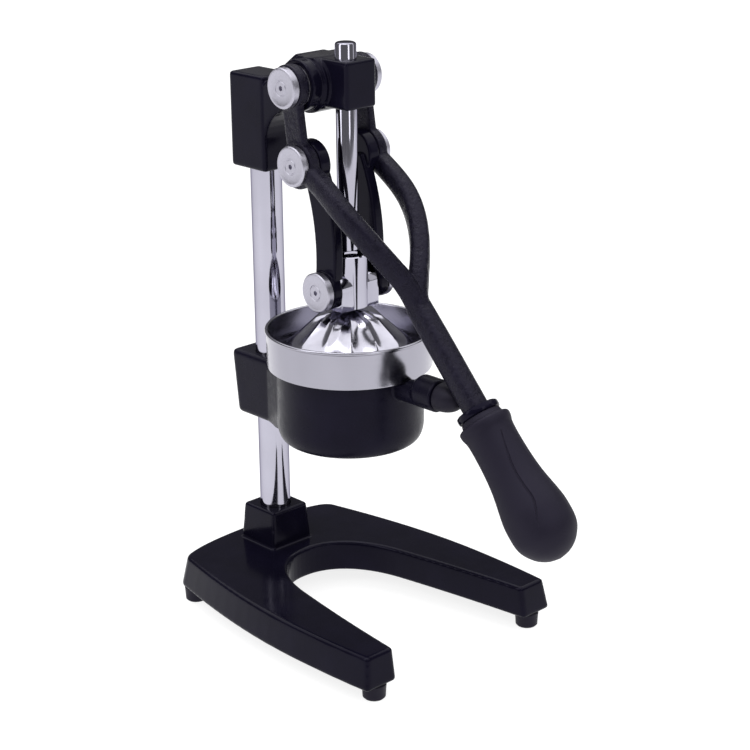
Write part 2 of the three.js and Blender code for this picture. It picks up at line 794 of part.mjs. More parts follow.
// The link's banana-shaped side outline, bowed to the front between its two pivots.
function linkOutline() {
  const along = crossPivot.clone().sub(leverPivot);
  const across = new THREE.Vector2(along.y, -along.x).normalize();
  const steps = 10;
  const edge = (offset) =>
    Array.from({ length: steps + 1 }, (_, i) => {
      const t = i / steps;
      const bow = 4 * linkBow * t * (1 - t);
      return leverPivot.clone().addScaledVector(along, t).addScaledVector(across, bow + offset);
    });
  return new THREE.Shape([...edge(linkWidth / 2), ...edge(-linkWidth / 2).reverse()]);
}

function link(side) {
  const top = [0, leverPivot.x, leverPivot.y];
  const low = [0, crossPivot.x, crossPivot.y];
  const body = join(
    carried(linkOutline(), side * linkInner, side * linkOuter),
    spanX(linkTopEyeRadius, side * linkEyeInner, side * linkEyeOuter, top, fine),
    spanX(linkLowEyeRadius, side * (crossBossReach + turnGap), side * linkLowOuter, low, fine),
  );
  return cut(
    body,
    spanX(linkLowEyeRadius, 0, side * (crossBossReach + turnGap), low, fine),
    spanX(pinRadius + boreGap, 0, side * (leverOuter + cutOver), low),
    spanX(pinRadius + boreGap, 0, side * (leverOuter + cutOver), top),
  );
}

function linkPinEnd(side) {
  return spanX(pinRadius, side * linkEyeInner, side * linkEyeOuter, [0, leverPivot.x, leverPivot.y]);
}

function crosshead() {
  const through = [0, crossPivot.x, crossPivot.y];
  let body = bar("z", crossRadius, crossBottom, crossTop, [0, 0, 0], fine);
  const footCorner = [crossBossReach, crossBossRadius, crossPivot.y];
  body = join(
    body,
    bar("x", crossBossRadius, -crossBossReach, crossBossReach, through, fine),
    box([-crossBossReach, -crossBossRadius, crossBottom], footCorner),
  );
  const corner = [crossBossReach, crossRadius, crossBottom];
  body = cut(body, box([-crossBossReach, -crossRadius, crossBottom - crossRise], corner));
  body = cut(body, bar("z", rodRadius + boreGap, rodBottom - seatGap, crossTop + cutOver, [0, 0, 0]));
  for (const side of Object.values(sides)) {
    const inner = side * (crossPinInner - seatGap);
    body = cut(body, spanX(pinRadius + boreGap, inner, side * (crossBossReach + cutOver), through));
  }
  const holeTop = bellScrewTop() + seatGap;
  return cut(body, bar("z", bellScrewRadius + boreGap, crossBottom - cutOver, holeTop, [0, 0, 0], coarse));
}

function bellScrewTop() {
  return bellTop - bellRoof + bellScrewLength;
}

function bellScrew() {
  const headTop = bellTop - bellRoof - seatGap;
  return join(
    bar("z", bellScrewHeadRadius, headTop - bellScrewHeadHeight, headTop, [0, 0, 0], coarse),
    bar("z", bellScrewRadius, headTop - bellScrewHeadHeight / 2, bellScrewTop(), [0, 0, 0], coarse),
  );
}

// The bell's outside: a steep cone whose flutes start at its top and fade out at its rim.
function pressBell() {
  const perFlute = 4;
  const count = bellFlutes * perFlute;
  const ring = (radius, height, depth) =>
    Array.from({ length: count }, (_, i) => {
      const turn = (2 * Math.PI * i) / count;
      const wave = Math.abs(Math.cos((turn * bellFlutes) / 2));
      const out = radius - depth * wave;
      return new THREE.Vector3(out * Math.cos(turn), out * Math.sin(turn), height);
    });
  const coneFoot = bellTop - bellHeight;
  const stations = [
    [0, 0],
    [0.3, 0],
    [0.42, 0.6],
    [0.56, 1],
    [0.8, 0.9],
    [1, 0.45],
  ];
  const loops = [ring(bellRadius, bellBottom, 0)];
  for (const [share, flute] of stations) {
    const radius = THREE.MathUtils.lerp(bellRadius, bellTopRadius, share);
    loops.push(ring(radius, THREE.MathUtils.lerp(coneFoot, bellTop, share), bellFluteDepth * flute));
  }
  const flat = loops[0].map((point) => new THREE.Vector2(point.x, point.y));
  const slope = (bellRadius - bellTopRadius) / bellHeight;
  const roof = bellTop - bellRoof;
  const roofRadius = bellTopRadius + (bellRoof - bellWall) * slope;
  const mouthRadius = roofRadius + (roof - bellBottom) * slope;
  const hollow = turned([
    [0, bellBottom - cutOver],
    [mouthRadius + cutOver * slope, bellBottom - cutOver],
    [roofRadius, roof],
    [0, roof],
  ]);
  const bore = bar("z", bellScrewRadius + boreGap, roof - cutOver, bellTop + cutOver, [0, 0, 0], coarse);
  return cut(loft(loops, flat), hollow, bore);
}

function ramRod() {
  const chamferShare = 0.15;
  const chamfer = rodRadius * chamferShare;
  return turned(
    [
      [0, rodBottom],
      [rodRadius, rodBottom],
      [rodRadius, rodTop - chamfer],
      [rodRadius - chamfer, rodTop],
      [0, rodTop],
    ],
    [0, 0, 0],
    medium,
  );
}

function lockNut() {
  const from = crossTop + seatGap;
  const body = bar("z", lockNutRadius, from, from + lockNutHeight, [0, 0, 0], 6);
  return cut(body, bar("z", rodRadius + boreGap, from - cutOver, from + lockNutHeight + cutOver, [0, 0, 0]));
}

// The cup's deep middle, which sits in the holder's bowl: its outer radius and the height of its floor.
function cupWell() {
  return { radius: holderRadius - holderWall - seatGap, foot: ringFoot - cupWellDepth };
}

function juiceCup() {
  const well = cupWell();
  const lip = well.radius - cupWall - cupLipWidth;
  return turnedRing([
    [lip, well.foot],
    [well.radius, well.foot],
    [well.radius, ringFoot],
    [ringFootRadius, ringFoot],
    [rimRadius, rimTop],
    [rimRadius - cupWall, rimTop],
    [ringFootRadius - cupWall, ringFoot + cupWall],
    [well.radius - cupWall, ringFoot + cupWall],
    [well.radius - cupWall, well.foot + cupWall],
    [lip, well.foot + cupWall],
  ]);
}

// The funnel is pressed separately, and its flange lies under the lip of the cup's floor.
function juiceFunnel() {
  const well = cupWell();
  const flangeTop = well.foot - seatGap;
  const flangeFoot = flangeTop - cupWall;
  const mouth = well.radius - cupWall - cupLipWidth;
  const coneFoot = flangeFoot - funnelDrop;
  return turnedRing([
    [spoutRadius, coneFoot - spoutLength],
    [spoutRadius, coneFoot],
    [mouth + cupWall / 2, flangeFoot],
    [mouth + funnelFlangeWidth, flangeFoot],
    [mouth + funnelFlangeWidth, flangeTop],
    [mouth, flangeTop],
    [spoutRadius - cupWall, coneFoot + cupWall / 2],
    [spoutRadius - cupWall, coneFoot - spoutLength],
  ]);
}

function strainerReamer() {
  const outer = ringFootRadius - cupWall - seatGap * 3;
  const shoulderShare = 0.45;
  const tip = reamerTipRadius;
  const peak = strainerTop + reamerHeight;
  const shoulder = peak - tip * shoulderShare;
  let body = turned([
    [0, peak - strainerWall],
    [tip - strainerWall / 2, shoulder - strainerWall],
    [reamerRadius - strainerWall / 2, strainerBottom],
    [outer, strainerBottom],
    [outer, strainerTop],
    [reamerRadius, strainerTop],
    [tip, shoulder],
    [0, peak],
  ].reverse());
  for (let i = 0; i < reamerSlots; i += 1) {
    const slot = new THREE.BoxGeometry(slotOuter - slotInner, slotWidth, reamerHeight * 2);
    slot.translate((slotOuter + slotInner) / 2, 0, strainerTop);
    slot.rotateZ((2 * Math.PI * i) / reamerSlots);
    body = cut(body, solid(slot));
  }
  return body;
}

// The web's plan from the post to the bowl, with a concave blend on each side.
function webPlan() {
  const flareShares = { bend: 1.2, start: 2, lean: 0.15 };
  const shape = new THREE.Shape();
  const touch = webHalfWidth + webFlare;
  const bowlY = Math.sqrt(holderRadius ** 2 - touch ** 2);
  const bendX = webHalfWidth + webFlare * flareShares.lean;
  const bendY = bowlY + webFlare * flareShares.bend;
  const startY = bowlY + webFlare * flareShares.start;
  shape.moveTo(touch, bowlY - holderWall);
  shape.quadraticCurveTo(bendX, bendY, webHalfWidth, startY);
  shape.lineTo(webHalfWidth, postSetback);
  shape.lineTo(-webHalfWidth, postSetback);
  shape.lineTo(-webHalfWidth, startY);
  shape.quadraticCurveTo(-bendX, bendY, -touch, bowlY - holderWall);
  return shape;
}

function clampBody() {
  const halfDepthTop = (postRadius + clampBack) / 2 + holderWall;
  const outline = roundedBox(clampHalfWidth, halfDepthTop, headRounding);
  const section = dropRepeats(outline.getPoints(4)).slice(0, -1);
  const front = clampBackY - 2 * halfDepthTop;
  const station = (height, taper) =>
    section.map((p) => {
      const backShare = (p.y + halfDepthTop) / (2 * halfDepthTop);
      return new THREE.Vector3(p.x, front + halfDepthTop + p.y - taper * backShare, height);
    });
  return loft([station(clampBottom, clampTaper), station(clampTop, 0)], section);
}

function cupHolder() {
  const inner = holderRadius - holderWall;
  const innerFoot = holderBottom + holderWall;
  const roundingTop = holderBottom + holderRounding;
  const quarter = [0, 30, 60, 90].map((angle) => [
    holderFootRadius + (holderRadius - holderFootRadius) * Math.sin(degrees(angle)),
    roundingTop - holderRounding * Math.cos(degrees(angle)),
  ]);
  let body = turned([[0, holderBottom], ...quarter, [holderRadius, holderTop], [0, holderTop]]);
  body = join(body, raised(webPlan(), clampBottom, clampTop - holderWall, 8), clampBody());
  body = join(body, leverRest());
  const cupSpace = rimRadius + seatGap * 2;
  body = cut(
    body,
    turned([
      [0, innerFoot],
      [holderFootRadius - holderWall, innerFoot],
      [inner, roundingTop],
      [inner, rimTop],
      [0, rimTop],
    ]),
    bar("z", outletRadius, holderBottom - cutOver, innerFoot + cutOver, [0, 0, 0], fine),
    turned([
      [0, holderTop],
      [cupSpace, holderTop],
      [cupSpace, rimTop],
      [0, rimTop],
    ]),
  );
  body = cut(body, bar("z", postRadius + boreGap, clampBottom - cutOver, clampTop + cutOver, postAxis, fine));
  body = cut(body, setScrewHole(clampBackY, holderScrewHeight));
  const spigotBack = bumperSpigotLength + seatGap - restReach;
  const spigotHole = bumperSpigotRadius + boreGap;
  return cut(body, bar("y", spigotHole, -restReach - cutOver, spigotBack, [0, 0, restZ], coarse));
}

// The rest's thick end, on a thinner and lower neck that grows out of the bowl.
function leverRest() {
  const coneBack = restHeadBack - restShoulder;
  const inBowl = -holderRadius + holderWall;
  const neck = [0, 0, restZ - restNeckDrop];
  return join(
    bar("y", restRadius, -restReach, -restHeadBack, [0, 0, restZ]),
    bar("y", restRadius, -restHeadBack - seatGap, -coneBack, [0, 0, restZ], medium, restNeckRadius),
    bar("y", restNeckRadius, -restHeadBack - restShoulder, inBowl, neck),
  );
}

// Space round the stem's flange, which a short stem brings up to the rest.
function flangeRoom() {
  const radius = flangeRadius + seatGap;
  const roomEnd = stemLength + flangeThickness + seatGap;
  return turnedOnStem([
    [0, stemLength - seatGap],
    [radius, stemLength - seatGap],
    [radius, roomEnd],
    [0, roomEnd],
  ]);
}

// A rubber plug with a long dome that the lever's stem lies against.
function restBumper() {
  const back = -restReach - seatGap;
  const spigotEnd = bumperSpigotLength - restReach;
  const centre = -back + bumperCollar;
  const toStem = (restReach + restStandoff - centre) * -stemAlong.z - seatGap;
  const domeLength = Math.sqrt(toStem ** 2 - (restRadius * stemAlong.y) ** 2) / -stemAlong.z;
  const dome = [0, 15, 30, 45, 60, 75].map((angle) => [
    restRadius * Math.cos(degrees(angle)),
    domeLength * Math.sin(degrees(angle)),
  ]);
  const shell = new THREE.LatheGeometry(
    [[0, -bumperCollar], [restRadius, -bumperCollar], ...dome, [0, domeLength]].map((p) => new THREE.Vector2(...p)),
    medium,
  );
  shell.rotateX(Math.PI);
  shell.translate(0, -centre, restZ);
  const spigot = bar("y", bumperSpigotRadius, back - bumperCollar, spigotEnd, [0, 0, restZ], coarse);
  return cut(join(solid(shell), spigot), flangeRoom());
}

piece("base_casting", baseCasting(), blackEnamel);
for (const [place, point] of Object.entries(feet)) {
  piece(`rubber_foot_${place}`, rubberFoot(point), blackRubber);
  piece(`foot_screw_${place}`, footScrew(point), zincSteel);
}
piece("post", post(), chrome);
piece("post_bolt", postBolt(), zincSteel);
piece("post_bolt_washer", postBoltWasher(), zincSteel);
piece("head_casting", headCasting(), blackEnamel);
for (const [place, height] of Object.entries(headScrewHeights)) {
  piece(`head_set_screw_${place}`, setScrew(headBlockBack, height), zincSteel);
}
piece("cup_holder", cupHolder(), blackEnamel);
piece("holder_set_screw", setScrew(holderScrewBack, holderScrewHeight), zincSteel);
piece("lever_rest_bumper", restBumper(), blackRubber);
piece("juice_cup", juiceCup(), polishedSteel);
piece("juice_funnel", juiceFunnel(), polishedSteel);
piece("strainer_reamer", strainerReamer(), satinSteel);
piece("lever_fork", leverFork(), castBlack);
piece("handle_grip", handleGrip(), gripRubber);
piece("ram_rod", ramRod(), chrome);
piece("rod_lock_nut", lockNut(), chrome);
piece("crosshead", crosshead(), chrome);
piece("press_bell", pressBell(), polishedSteel);
piece("bell_screw", bellScrew(), zincSteel);
const crossPinFace = linkLowOuter + seatGap;
for (const [name, side] of Object.entries(sides)) {
  piece(`head_pivot_pin_${name}`, discPin(side, pinInner(), discInner, headPivot), satinSteel);
  piece(`head_pivot_washer_${name}`, pivotWasher(side), zincSteel);
  piece(`lever_link_pin_${name}`, discPin(side, leverInner, discInner, leverPivot), satinSteel);
  piece(`crosshead_pin_${name}`, discPin(side, crossPinInner, crossPinFace, crossPivot), satinSteel);
  piece(`link_${name}`, link(side), blackEnamel);
  piece(`link_pin_end_${name}`, linkPinEnd(side), zincSteel);
}

const bounds = new THREE.Box3().setFromObject(press);
const middle = bounds.getCenter(new THREE.Vector3());
press.position.set(-middle.x, -middle.y, -bounds.min.z);

export default press;
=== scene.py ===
"""Lever citrus juice press: the detailed pieces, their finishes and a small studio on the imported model.

Lengths in the modelling code are millimetres from the ram's axis and the table. at() turns them into the
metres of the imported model. Every finished piece sits at the origin, with its place in its mesh.
"""

import json
import math

import bpy
from bpy.props import FloatProperty, FloatVectorProperty, IntProperty, PointerProperty
from mathutils import Matrix, Vector

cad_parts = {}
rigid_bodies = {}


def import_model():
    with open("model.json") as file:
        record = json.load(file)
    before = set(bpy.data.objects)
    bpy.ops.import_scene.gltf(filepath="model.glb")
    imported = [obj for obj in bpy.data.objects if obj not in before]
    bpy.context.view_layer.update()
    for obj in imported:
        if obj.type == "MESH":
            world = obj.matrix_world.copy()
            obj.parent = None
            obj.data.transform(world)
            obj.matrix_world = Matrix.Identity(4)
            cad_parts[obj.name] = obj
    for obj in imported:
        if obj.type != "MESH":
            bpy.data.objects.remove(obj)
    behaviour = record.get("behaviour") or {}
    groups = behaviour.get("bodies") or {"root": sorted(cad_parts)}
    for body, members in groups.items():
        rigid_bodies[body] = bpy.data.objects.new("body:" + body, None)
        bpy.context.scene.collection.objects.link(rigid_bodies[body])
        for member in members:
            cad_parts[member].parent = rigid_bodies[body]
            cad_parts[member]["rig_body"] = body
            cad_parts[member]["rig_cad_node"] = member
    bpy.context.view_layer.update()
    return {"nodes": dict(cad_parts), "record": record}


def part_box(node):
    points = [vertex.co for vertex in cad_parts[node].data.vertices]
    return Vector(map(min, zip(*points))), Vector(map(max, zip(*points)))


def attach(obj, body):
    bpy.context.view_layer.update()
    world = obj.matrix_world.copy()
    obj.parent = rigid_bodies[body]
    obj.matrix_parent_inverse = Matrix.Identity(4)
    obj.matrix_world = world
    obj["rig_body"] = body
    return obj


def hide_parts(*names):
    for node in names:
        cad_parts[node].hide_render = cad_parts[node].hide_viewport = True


bl_info = {
    "name": "Lever citrus juice press",
    "version": (1, 0, 0),
    "blender": (4, 5, 0),
    "location": "3D View > Sidebar > Juice press",
    "description": "Models the press piece by piece on its packed frame and sets up the studio",
    "category": "Object",
}

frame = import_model()

MM = 0.001
FULL_TURN = 2 * math.pi
X_AXIS = Vector((1, 0, 0))
Y_AXIS = Vector((0, 1, 0))
Z_AXIS = Vector((0, 0, 1))
ram_axis_y = sum(corner.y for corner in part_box("ram_rod")) / 2


def half_width(node, axis):
    """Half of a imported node's size along one axis, in metres."""
    low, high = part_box(node)
    return (high[axis] - low[axis]) / 2


def at(x, y, z):
    """A place given in millimetres from the ram's axis and the table."""
    return Vector((x * MM, y * MM + ram_axis_y, z * MM))


# Heights and places that the pieces share, in millimetres
POST_Y = 94.1
HEAD_PIVOT = (22.5, 433.2)
LEVER_PIVOT = (13.827, 375.852)
CROSS_PIVOT = (0.0, 279.034)
STEM_SLOPE = math.radians(47.6)
STEM_ROOT = at(0, -76, 277.2)
STEM_ALONG = Vector((0, -math.cos(STEM_SLOPE), -math.sin(STEM_SLOPE)))
STEM_UP = STEM_ALONG.cross(X_AXIS)
GRIP_START = 94.3
GRIP_LENGTH = 118.2
TANG_END = 180
EYE_INSIDE, EYE_OUTSIDE = 30.6, 38.9
CROSSHEAD_FOOT = 262.5
HOLDER_TOP = 214.6
HOLDER_BOTTOM = 155.6
BOWL_RADIUS = 57.7
BOWL_INSIDE = 53.2
WEB_HALF = 18.6
REST_Z = 212.8
RING_FOOT = 214.9
RIM_TOP = 245.2
BELL_BOTTOM = 220.7
FLUTE_TURN = math.radians(4)
FEET = {
    "front_left": (-84.5, -113),
    "front_right": (84.5, -113),
    "rear_left": (-74.5, 110.5),
    "rear_right": (74.5, 110.5),
}
BORE_GAP = 0.35
SET_SCREW_BORE = 4.3
SIDES = {"left": -1, "right": 1}
WELD = 2e-6


# ---------------------------------------------------------------- modelling by hand


def to_object_mode():
    """Leaves edit mode and drops the selection."""
    if bpy.context.mode != "OBJECT":
        bpy.ops.object.mode_set(mode="OBJECT")
    bpy.ops.object.select_all(action="DESELECT")


def take(piece):
    """Makes one object the only selected and the active one."""
    to_object_mode()
    piece.select_set(True)
    bpy.context.view_layer.objects.active = piece
    return piece


def edit(piece):
    """Opens an object in edit mode with nothing selected."""
    take(piece)
    bpy.ops.object.mode_set(mode="EDIT")
    bpy.ops.mesh.select_mode(type="VERT")
    bpy.ops.mesh.select_all(action="DESELECT")


def close_edit():
    """Welds the seams of the mesh in edit mode and points its faces outwards."""
    bpy.ops.mesh.select_all(action="SELECT")
    bpy.ops.mesh.remove_doubles(threshold=WELD)
    bpy.ops.mesh.normals_make_consistent(inside=False)
    bpy.ops.object.mode_set(mode="OBJECT")


def draw_line(points):
    """Draws a line by extruding a single vertex from point to point."""
    to_object_mode()
    bpy.ops.mesh.primitive_plane_add(size=MM)
    bpy.ops.object.mode_set(mode="EDIT")
    bpy.ops.mesh.select_mode(type="VERT")
    bpy.ops.mesh.merge(type="CENTER")
    bpy.ops.transform.translate(value=points[0])
    for here, there in zip(points, points[1:]):
        bpy.ops.mesh.extrude_vertices_move(TRANSFORM_OT_translate={"value": there - here})
    return bpy.context.object


def draw_loop(points):
    """Draws a closed line."""
    piece = draw_line([*points, points[0]])
    bpy.ops.mesh.select_linked()
    bpy.ops.mesh.remove_doubles(threshold=WELD)
    return piece


def turn_profile(points, centre, axis, steps=96, closed=False):
    """Draws a profile and spins it about an axis into a closed skin."""
    piece = draw_loop(points) if closed else draw_line(points)
    bpy.ops.mesh.select_all(action="SELECT")
    bpy.ops.mesh.spin(steps=steps, angle=FULL_TURN, center=centre, axis=axis)
    close_edit()
    return piece


def turn_upright(profile, place=(0, 0), steps=96, closed=False):
    """A turned piece about a vertical axis, from (radius, height) in millimetres."""
    x, y = place
    points = [at(x + radius, y, height) for radius, height in profile]
    return turn_profile(points, at(x, y, 0), Z_AXIS, steps, closed)


def turn_across(profile, pivot):
    """A turned piece about a pivot's crosswise axis, from (radius, x) in millimetres."""
    points = [at(x, pivot[0] + radius, pivot[1]) for radius, x in profile]
    return turn_profile(points, at(0, *pivot), X_AXIS, 72)


def on_stem(along):
    """A place on the axis of the lever's stem."""
    return STEM_ROOT + STEM_ALONG * along * MM


def turn_on_stem(profile, steps=64):
    """A turned piece about the lever's stem, from (radius, distance along) in millimetres."""
    points = [on_stem(along) + X_AXIS * radius * MM for radius, along in profile]
    return turn_profile(points, STEM_ROOT, STEM_ALONG, steps)


def extrude_loop(points, way):
    """Fills a closed line and extrudes the face into a solid."""
    piece = draw_loop(points)
    bpy.ops.mesh.select_all(action="SELECT")
    bpy.ops.mesh.edge_face_add()
    bpy.ops.mesh.extrude_region_move(TRANSFORM_OT_translate={"value": way})
    close_edit()
    return piece


def select_where(piece, test):
    """Selects the vertices in edit mode whose place passes the test."""
    bpy.ops.object.mode_set(mode="OBJECT")
    for vertex in piece.data.vertices:
        vertex.select = test(vertex.co)
    bpy.ops.object.mode_set(mode="EDIT")


def leaning_wall(foot, top):
    """A solid between two level outlines of the same number of points."""
    rise = Z_AXIS * (top[0].z - foot[0].z)
    piece = extrude_loop(foot, rise)
    matches = []
    for low in foot:
        raised = low + rise
        nearest = min(piece.data.vertices, key=lambda vertex, place=raised: (vertex.co - place).length)
        matches.append(nearest)
    for vertex, high in zip(matches, top):
        vertex.co = high
    edit(piece)
    close_edit()
    return piece


def settle(piece):
    """Applies an object's place, turn and size to its mesh."""
    take(piece)
    bpy.ops.object.transform_apply(location=True, rotation=True, scale=True)
    return piece


def round_edges(piece, width, segments=3, angle=30):
    """Bevels the edges sharper than an angle."""
    edge = piece.modifiers.new("rounded edges", "BEVEL")
    edge.width = width * MM
    edge.segments = segments
    edge.limit_method = "ANGLE"
    edge.angle_limit = math.radians(angle)
    edge.use_clamp_overlap = True
    take(piece)
    bpy.ops.object.modifier_apply(modifier=edge.name)
    return piece


def block(low, high, rounding=0.0):
    """A cube set to its size and place, with rounded edges."""
    to_object_mode()
    bpy.ops.mesh.primitive_cube_add(size=1, location=(low + high) / 2, scale=high - low)
    piece = settle(bpy.context.object)
    return round_edges(piece, rounding) if rounding else piece


def rod(start, end, radius, vertices=72, rounding=0.0, end_radius=None):
    """A round bar or cone between two places, its ends' edges rounded."""
    span = end - start
    to_object_mode()
    bpy.ops.mesh.primitive_cone_add(
        vertices=vertices,
        radius1=radius * MM,
        radius2=(radius if end_radius is None else end_radius) * MM,
        depth=span.length,
        location=(start + end) / 2,
        rotation=span.to_track_quat("Z", "Y").to_euler(),
    )
    piece = settle(bpy.context.object)
    return round_edges(piece, rounding) if rounding else piece


def cross_rod(pivot, x_from, x_to, radius, rounding=0.0, vertices=72):
    """A round bar across the press at a pivot."""
    return rod(at(x_from, *pivot), at(x_to, *pivot), radius, vertices, rounding)


def boolean(piece, tool, kind):
    """Joins a tool to a piece, cuts it out or keeps what both share, and removes the tool."""
    step = piece.modifiers.new("boolean", "BOOLEAN")
    step.operation = kind
    step.solver = "EXACT"
    step.object = tool
    take(piece)
    bpy.ops.object.modifier_apply(modifier=step.name)
    take(tool)
    bpy.ops.object.delete()
    return piece


def cut_out(piece, *tools):
    """Cuts one tool after the other out of a piece."""
    for tool in tools:
        boolean(piece, tool, "DIFFERENCE")
    return piece


def cast(parts, grain, softening):
    """Melts overlapping solids into one casting whose inner corners are soft."""
    to_object_mode()
    for part in parts:
        part.select_set(True)
    bpy.context.view_layer.objects.active = parts[0]
    bpy.ops.object.join()
    piece = bpy.context.object
    skin = piece.modifiers.new("skin", "REMESH")
    skin.mode = "VOXEL"
    skin.voxel_size = grain * MM
    bpy.ops.object.modifier_apply(modifier=skin.name)
    soft = piece.modifiers.new("soft corners", "SMOOTH")
    soft.factor = 0.5
    soft.iterations = softening
    bpy.ops.object.modifier_apply(modifier=soft.name)
    return piece


def copy_of_node(node):
    """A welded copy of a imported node."""
    take(frame["nodes"][node])
    bpy.ops.object.duplicate()
    piece = bpy.context.object
    piece.parent = None
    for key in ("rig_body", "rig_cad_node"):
        del piece[key]
    edit(piece)
    bpy.ops.mesh.select_all(action="SELECT")
    bpy.ops.mesh.remove_doubles(threshold=WELD)
    bpy.ops.mesh.dissolve_limited(angle_limit=math.radians(1))
    bpy.ops.object.mode_set(mode="OBJECT")
    piece.data.materials.clear()
    return piece


def sweep(points, half_across, half_up, radii):
    """Carries a squarish oval along a smooth path."""
    to_object_mode()
    bpy.ops.curve.primitive_bezier_circle_add(radius=1)
    section = bpy.context.object
    section.data.resolution_u = 8
    fullness = 0.74
    for knot in section.data.splines[0].bezier_points:
        knot.handle_left_type = "FREE"
        knot.handle_right_type = "FREE"
        along = Vector((-knot.co.y, knot.co.x, 0))
        side = 1 if (knot.handle_right - knot.co).dot(along) > 0 else -1
        knot.handle_right = knot.co + along * side * fullness
        knot.handle_left = knot.co - along * side * fullness
    section.scale = (half_across * MM, half_up * MM, 1)
    settle(section)
    to_object_mode()
    bpy.ops.curve.primitive_bezier_curve_add()
    path = bpy.context.object
    spline = path.data.splines[0]
    spline.bezier_points.add(len(points) - len(spline.bezier_points))
    for knot, place, radius in zip(spline.bezier_points, points, radii):
        knot.co = place
        knot.radius = radius
        knot.handle_left_type = "AUTO"
        knot.handle_right_type = "AUTO"
    path.data.dimensions = "3D"
    path.data.resolution_u = 6
    path.data.twist_mode = "Z_UP"
    path.data.bevel_mode = "OBJECT"
    path.data.bevel_object = section
    path.data.use_fill_caps = True
    take(path)
    bpy.ops.object.convert(target="MESH")
    piece = bpy.context.object
    take(section)
    bpy.ops.object.delete()
    edit(piece)
    close_edit()
    return piece


def finish_piece(piece, name, body, finish, nodes=(), angle=30):
    """Names a finished piece, smooths its shading, gives it its finish and its body."""
    material = finish_named(finish)
    settle(piece)
    piece.name = name
    piece.data.name = name
    bpy.ops.object.shade_smooth_by_angle(angle=math.radians(angle))
    piece.data.materials.clear()
    piece.data.materials.append(material)
    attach(piece, body)
    if nodes:
        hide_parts(*nodes)


def bend_quadratic(start, turn, end, steps):
    """Points of a curve between two points that leans towards a third, without the first."""
    shares = [(i + 1) / steps for i in range(steps)]
    return [(1 - t) ** 2 * start + 2 * t * (1 - t) * turn + t * t * end for t in shares]


def bend_cubic(start, first, second, end, steps):
    """Points of a curve between two points that leans towards two others, without the first."""
    shares = [(i + 1) / steps for i in range(steps)]
    return [
        (1 - t) ** 3 * start + 3 * t * (1 - t) ** 2 * first + 3 * t * t * (1 - t) * second + t**3 * end
        for t in shares
    ]


def smooth_line(points, steps):
    """A finer line through the given points, rounded between them."""
    padded = [points[0], *points, points[-1]]
    fine = [points[0]]
    for a, b, c, d in zip(padded, padded[1:], padded[2:], padded[3:]):
        square = 2 * a - 5 * b + 4 * c - d
        cube = 3 * b - a - 3 * c + d
        for i in range(steps):
            t = (i + 1) / steps
            fine.append(0.5 * (2 * b + (c - a) * t + square * t**2 + cube * t**3))
    return fine


def arc(centre, radius, start, end, steps):
    """Points of an arc in a plane, by degrees."""
    turns = [math.radians(start + (end - start) * i / steps) for i in range(steps + 1)]
    return [(centre[0] + radius * math.cos(t), centre[1] + radius * math.sin(t)) for t in turns]


# ---------------------------------------------------------------- finishes


def fill_inputs(node, values):
    """Sets a node's inputs by name."""
    for key, value in values.items():
        node.inputs[key.replace("_", " ")].default_value = value
    return node


class Finish:
    """A material under construction: its shader and short ways to texture it."""

    def __init__(self, name, slot=None):
        self.material = bpy.data.materials.new(name)
        self.material.use_nodes = True
        if slot:
            self.material["record_slot"] = slot
        self.nodes = self.material.node_tree.nodes
        self.links = self.material.node_tree.links
        self.shader = self.nodes["Principled BSDF"]

    def set(self, **values):
        """Sets inputs of the shader by name."""
        fill_inputs(self.shader, values)
        return self

    def node(self, kind, feed, into="Vector", **values):
        """Adds a node, sets its inputs by name and feeds one of them."""
        node = fill_inputs(self.nodes.new(kind), values)
        self.links.new(feed, node.inputs[into])
        return node

    def place(self, stretch=1, centre=(0, 0, 0)):
        """Object coordinates, centred on a place and stretched upwards."""
        source = self.nodes.new("ShaderNodeTexCoord").outputs["Object"]
        mapping = self.node("ShaderNodeMapping", source, Location=centre, Scale=(1, 1, stretch))
        mapping.vector_type = "TEXTURE"
        return mapping.outputs["Vector"]

    def noise(self, scale, detail=3.0, rough=0.5, stretch=1, centre=(0, 0, 0)):
        """Cloudy noise of a size, a detail and a roughness, stretched upwards."""
        values = {"Scale": scale, "Detail": detail, "Roughness": rough}
        return self.node("ShaderNodeTexNoise", self.place(stretch, centre), **values).outputs["Fac"]

    def rings(self, scale, centre):
        """Fine turning marks round an axis along X."""
        place = self.place(centre=centre)
        node = self.node("ShaderNodeTexWave", place, Scale=scale, Distortion=1.2, Detail=2.0)
        node.wave_type = "RINGS"
        node.rings_direction = "X"
        return node.outputs["Fac"]

    def ranged(self, value, low, high):
        """The middle of a noise's range, spread between two values."""
        ends = {"From_Min": 0.3, "From_Max": 0.7, "To_Min": low, "To_Max": high}
        return self.node("ShaderNodeMapRange", value, "Value", **ends).outputs["Result"]

    def roughness(self, value, low, high):
        """Lets the roughness follow a pattern."""
        self.links.new(self.ranged(value, low, high), self.shader.inputs["Roughness"])

    def colour(self, value, colour, dark, light):
        """Lets the colour follow a pattern, from a darker to a lighter share of it."""
        node = self.nodes.new("ShaderNodeMix")
        node.data_type = "RGBA"
        factor, first, second, result = node.inputs[0], node.inputs[6], node.inputs[7], node.outputs[2]
        for side, share in ((first, dark), (second, light)):
            side.default_value = (*(min(1.0, channel * share) for channel in colour), 1)
        self.links.new(self.ranged(value, 0, 1), factor)
        self.links.new(result, self.shader.inputs["Base Color"])

    def bump(self, height, strength, depth, after=None):
        """Adds relief, over earlier relief if there is any."""
        node = self.node("ShaderNodeBump", height, "Height", Strength=strength, Distance=depth * MM)
        if after:
            self.links.new(after, node.inputs["Normal"])
        self.links.new(node.outputs["Normal"], self.shader.inputs["Normal"])
        return node.outputs["Normal"]


